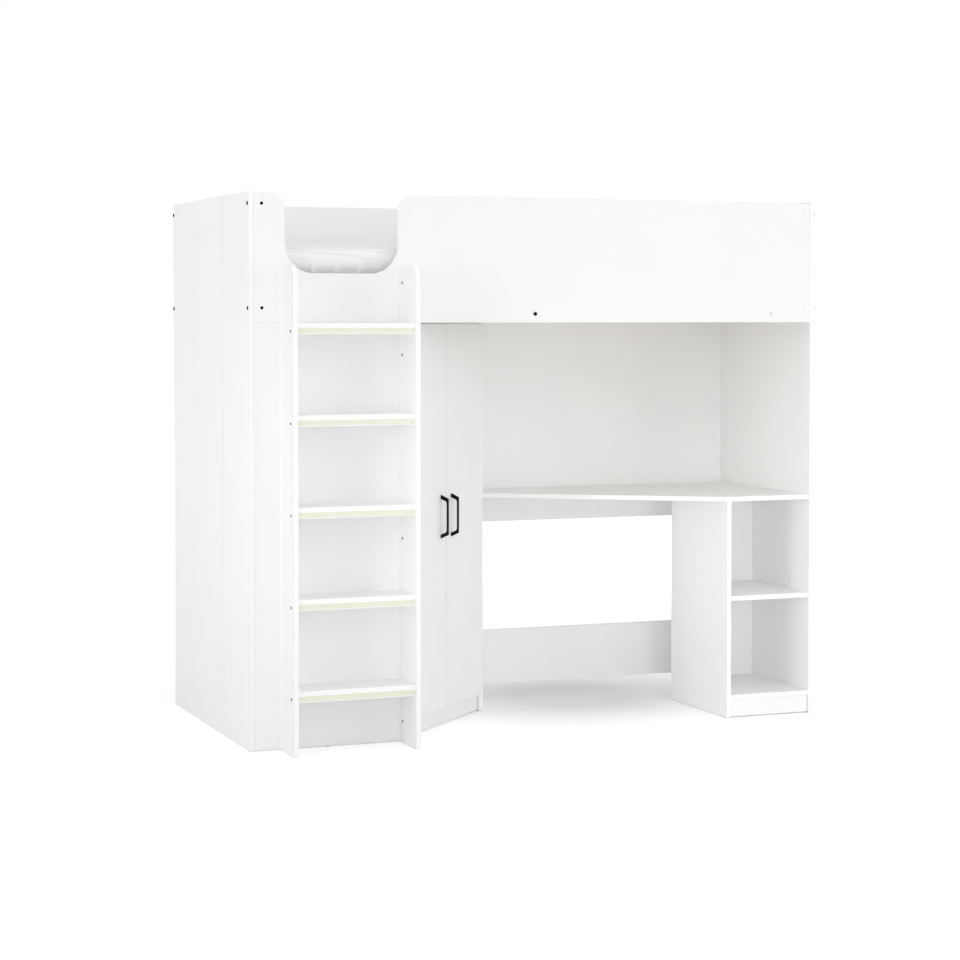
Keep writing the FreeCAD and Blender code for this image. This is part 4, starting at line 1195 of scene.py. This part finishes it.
@dataclass
class Studio:
    """White studio: floor, even light and the camera at the picture's angle."""

    camera_place: tuple[float, float, float] = (-2.8891, -7.2413, 1.3368)
    camera_yaw: float = 21.296
    camera_pitch: float = 2.0435
    lens: float = 86.90
    shift_y: float = -0.0846
    ambient: float = 0.62
    # White recesses pass light on many times, so it is followed further than usual.
    diffuse_bounces: int = 12
    # Large lamps stand round the object, and small gridded ones reach its recesses.
    softboxes: tuple[Softbox, ...] = (
        Softbox("camera_softbox", (-1.8, -7.2, 1.4), (0.0, 0.0, 0.85), 2.0, 35.0),
        Softbox("left_softbox", (-6.5, -2.2, 2.0), (0.0, 0.0, 0.9), 4.0, 80.0),
        Softbox("right_softbox", (5.0, -4.6, 2.0), (0.0, 0.0, 0.9), 4.0, 75.0),
        Softbox("high_front_softbox", (-0.6, -4.4, 3.9), (0.2, 0.0, 0.75), 3.0, 18.0),
        Softbox("top_softbox", (0.0, -1.0, 5.6), (0.0, 0.0, 0.8), 5.0, 41.0),
        Softbox("back_softbox", (-0.5, 6.5, 2.2), (0.0, 0.0, 0.9), 4.0, 45.0),
        Softbox("low_gridded_softbox", (-1.2, -3.65, 0.6), (0.5, 0.1, 0.66), 1.2, 0.22, 32.0),
        Softbox("cubby_gridded_softbox", (0.3, -4.2, 0.5), (0.8, 0.0, 0.42), 1.0, 0.3, 14.0),
        Softbox("left_gridded_softbox", (-4.5, -2.6, 0.9), (0.9, -0.1, 0.75), 1.0, 0.6, 20.0),
    )
    floor_size: float = 60.0
    floor_paint: str = "#F2F2F2"
    floor_drop: float = 0.2 * MM
    floor_lift: float = 0.3
    backdrop_lift: float = 0.45
    shadow_middle: tuple[float, float, float] = (0.35, 0.2, 0.0)
    shadow_reach: tuple[float, float] = (0.2, 0.7)
    backdrop_reach: tuple[float, float] = (1.4, 4.0)

    def build(self) -> None:
        """Builds the whole studio."""
        LOG.info("building the studio")
        self.floor()
        self.world()
        for softbox in self.softboxes:
            softbox.hang()
        self.camera()
        bpy.context.scene.view_settings.view_transform = "Standard"
        bpy.context.scene.cycles.diffuse_bounces = self.diffuse_bounces

    def floor(self) -> None:
        """Lays a white floor that keeps the shadow under the desk and lifts to pure white away from it."""
        half = self.floor_size / 2
        mesh = bpy.data.meshes.new("studio_floor")
        corners = [(-half, -half, 0), (half, -half, 0), (half, half, 0), (-half, half, 0)]
        mesh.from_pydata(corners, [], [(0, 1, 2, 3)])
        floor = bpy.data.objects.new("studio_floor", mesh)
        bpy.context.scene.collection.objects.link(floor)
        floor.location.z = -self.floor_drop
        material = bpy.data.materials.new("studio_floor_paint")
        material.use_nodes = True
        tree = material.node_tree
        tree.nodes.clear()
        paint = add_node(tree, "ShaderNodeBsdfDiffuse", {"Color": linear(self.floor_paint)})
        place = add_node(tree, "ShaderNodeTexCoord").outputs["Object"]
        reach = add_node(tree, "ShaderNodeVectorMath", {0: place, 1: self.shadow_middle},
                         operation="DISTANCE")
        near = add_node(tree, "ShaderNodeMapRange", {
            "Value": reach, "From Min": self.shadow_reach[0], "From Max": self.shadow_reach[1],
            "To Min": 0.0, "To Max": self.floor_lift})
        far = add_node(tree, "ShaderNodeMapRange", {
            "Value": reach, "From Min": self.backdrop_reach[0], "From Max": self.backdrop_reach[1],
            "To Min": 0.0, "To Max": self.backdrop_lift})
        strength = add_node(tree, "ShaderNodeMath", {0: near, 1: far}, operation="ADD")
        lift = add_node(tree, "ShaderNodeEmission", {"Strength": strength})
        lifted = add_node(tree, "ShaderNodeAddShader", {0: paint, 1: lift})
        mixed = add_node(tree, "ShaderNodeMixShader", {0: self.seen(tree), 1: paint, 2: lifted})
        add_node(tree, "ShaderNodeOutputMaterial", {"Surface": mixed})
        mesh.materials.append(material)

    def seen(self, tree: bpy.types.NodeTree) -> bpy.types.Node:
        """Tells camera, mirror and glass rays from the light's own.

        Args:
            tree: Node tree to add to.

        Returns:
            Node that gives 1 for those rays.
        """
        rays = add_node(tree, "ShaderNodeLightPath").outputs
        direct = add_node(tree, "ShaderNodeMath", {0: rays["Is Camera Ray"], 1: rays["Is Glossy Ray"]},
                          operation="MAXIMUM")
        return add_node(tree, "ShaderNodeMath", {0: direct, 1: rays["Is Transmission Ray"]},
                        operation="MAXIMUM")

    def world(self) -> None:
        """Sets even ambient light with a white background."""
        world = bpy.data.worlds.new("studio_world")
        bpy.context.scene.world = world
        world.use_nodes = True
        tree = world.node_tree
        tree.nodes.clear()
        white = linear("#FFFFFF")
        light = add_node(tree, "ShaderNodeBackground", {"Color": white, "Strength": self.ambient})
        backdrop = add_node(tree, "ShaderNodeBackground", {"Color": white, "Strength": 1.0})
        mixed = add_node(tree, "ShaderNodeMixShader", {0: self.seen(tree), 1: light, 2: backdrop})
        add_node(tree, "ShaderNodeOutputWorld", {"Surface": mixed})

    def camera(self) -> None:
        """Sets the camera by its fitted place, turn and lens."""
        data = bpy.data.cameras.new("studio_camera")
        data.lens = self.lens
        data.shift_y = self.shift_y
        camera = bpy.data.objects.new("studio_camera", data)
        yaw, pitch = math.radians(self.camera_yaw), math.radians(self.camera_pitch)
        ahead = Vector((math.sin(yaw) * math.cos(pitch), math.cos(yaw) * math.cos(pitch), -math.sin(pitch)))
        camera.location = self.camera_place
        camera.rotation_euler = ahead.to_track_quat("-Z", "Y").to_euler()
        bpy.context.scene.collection.objects.link(camera)
        bpy.context.scene.camera = camera


def main() -> None:
    for assembly in (BedBox(), Wardrobe(), Desk(), Cubby(), Ladder(), Mattress()):
        assembly.build()
    Studio().build()


if __name__ == "__main__":
    main()
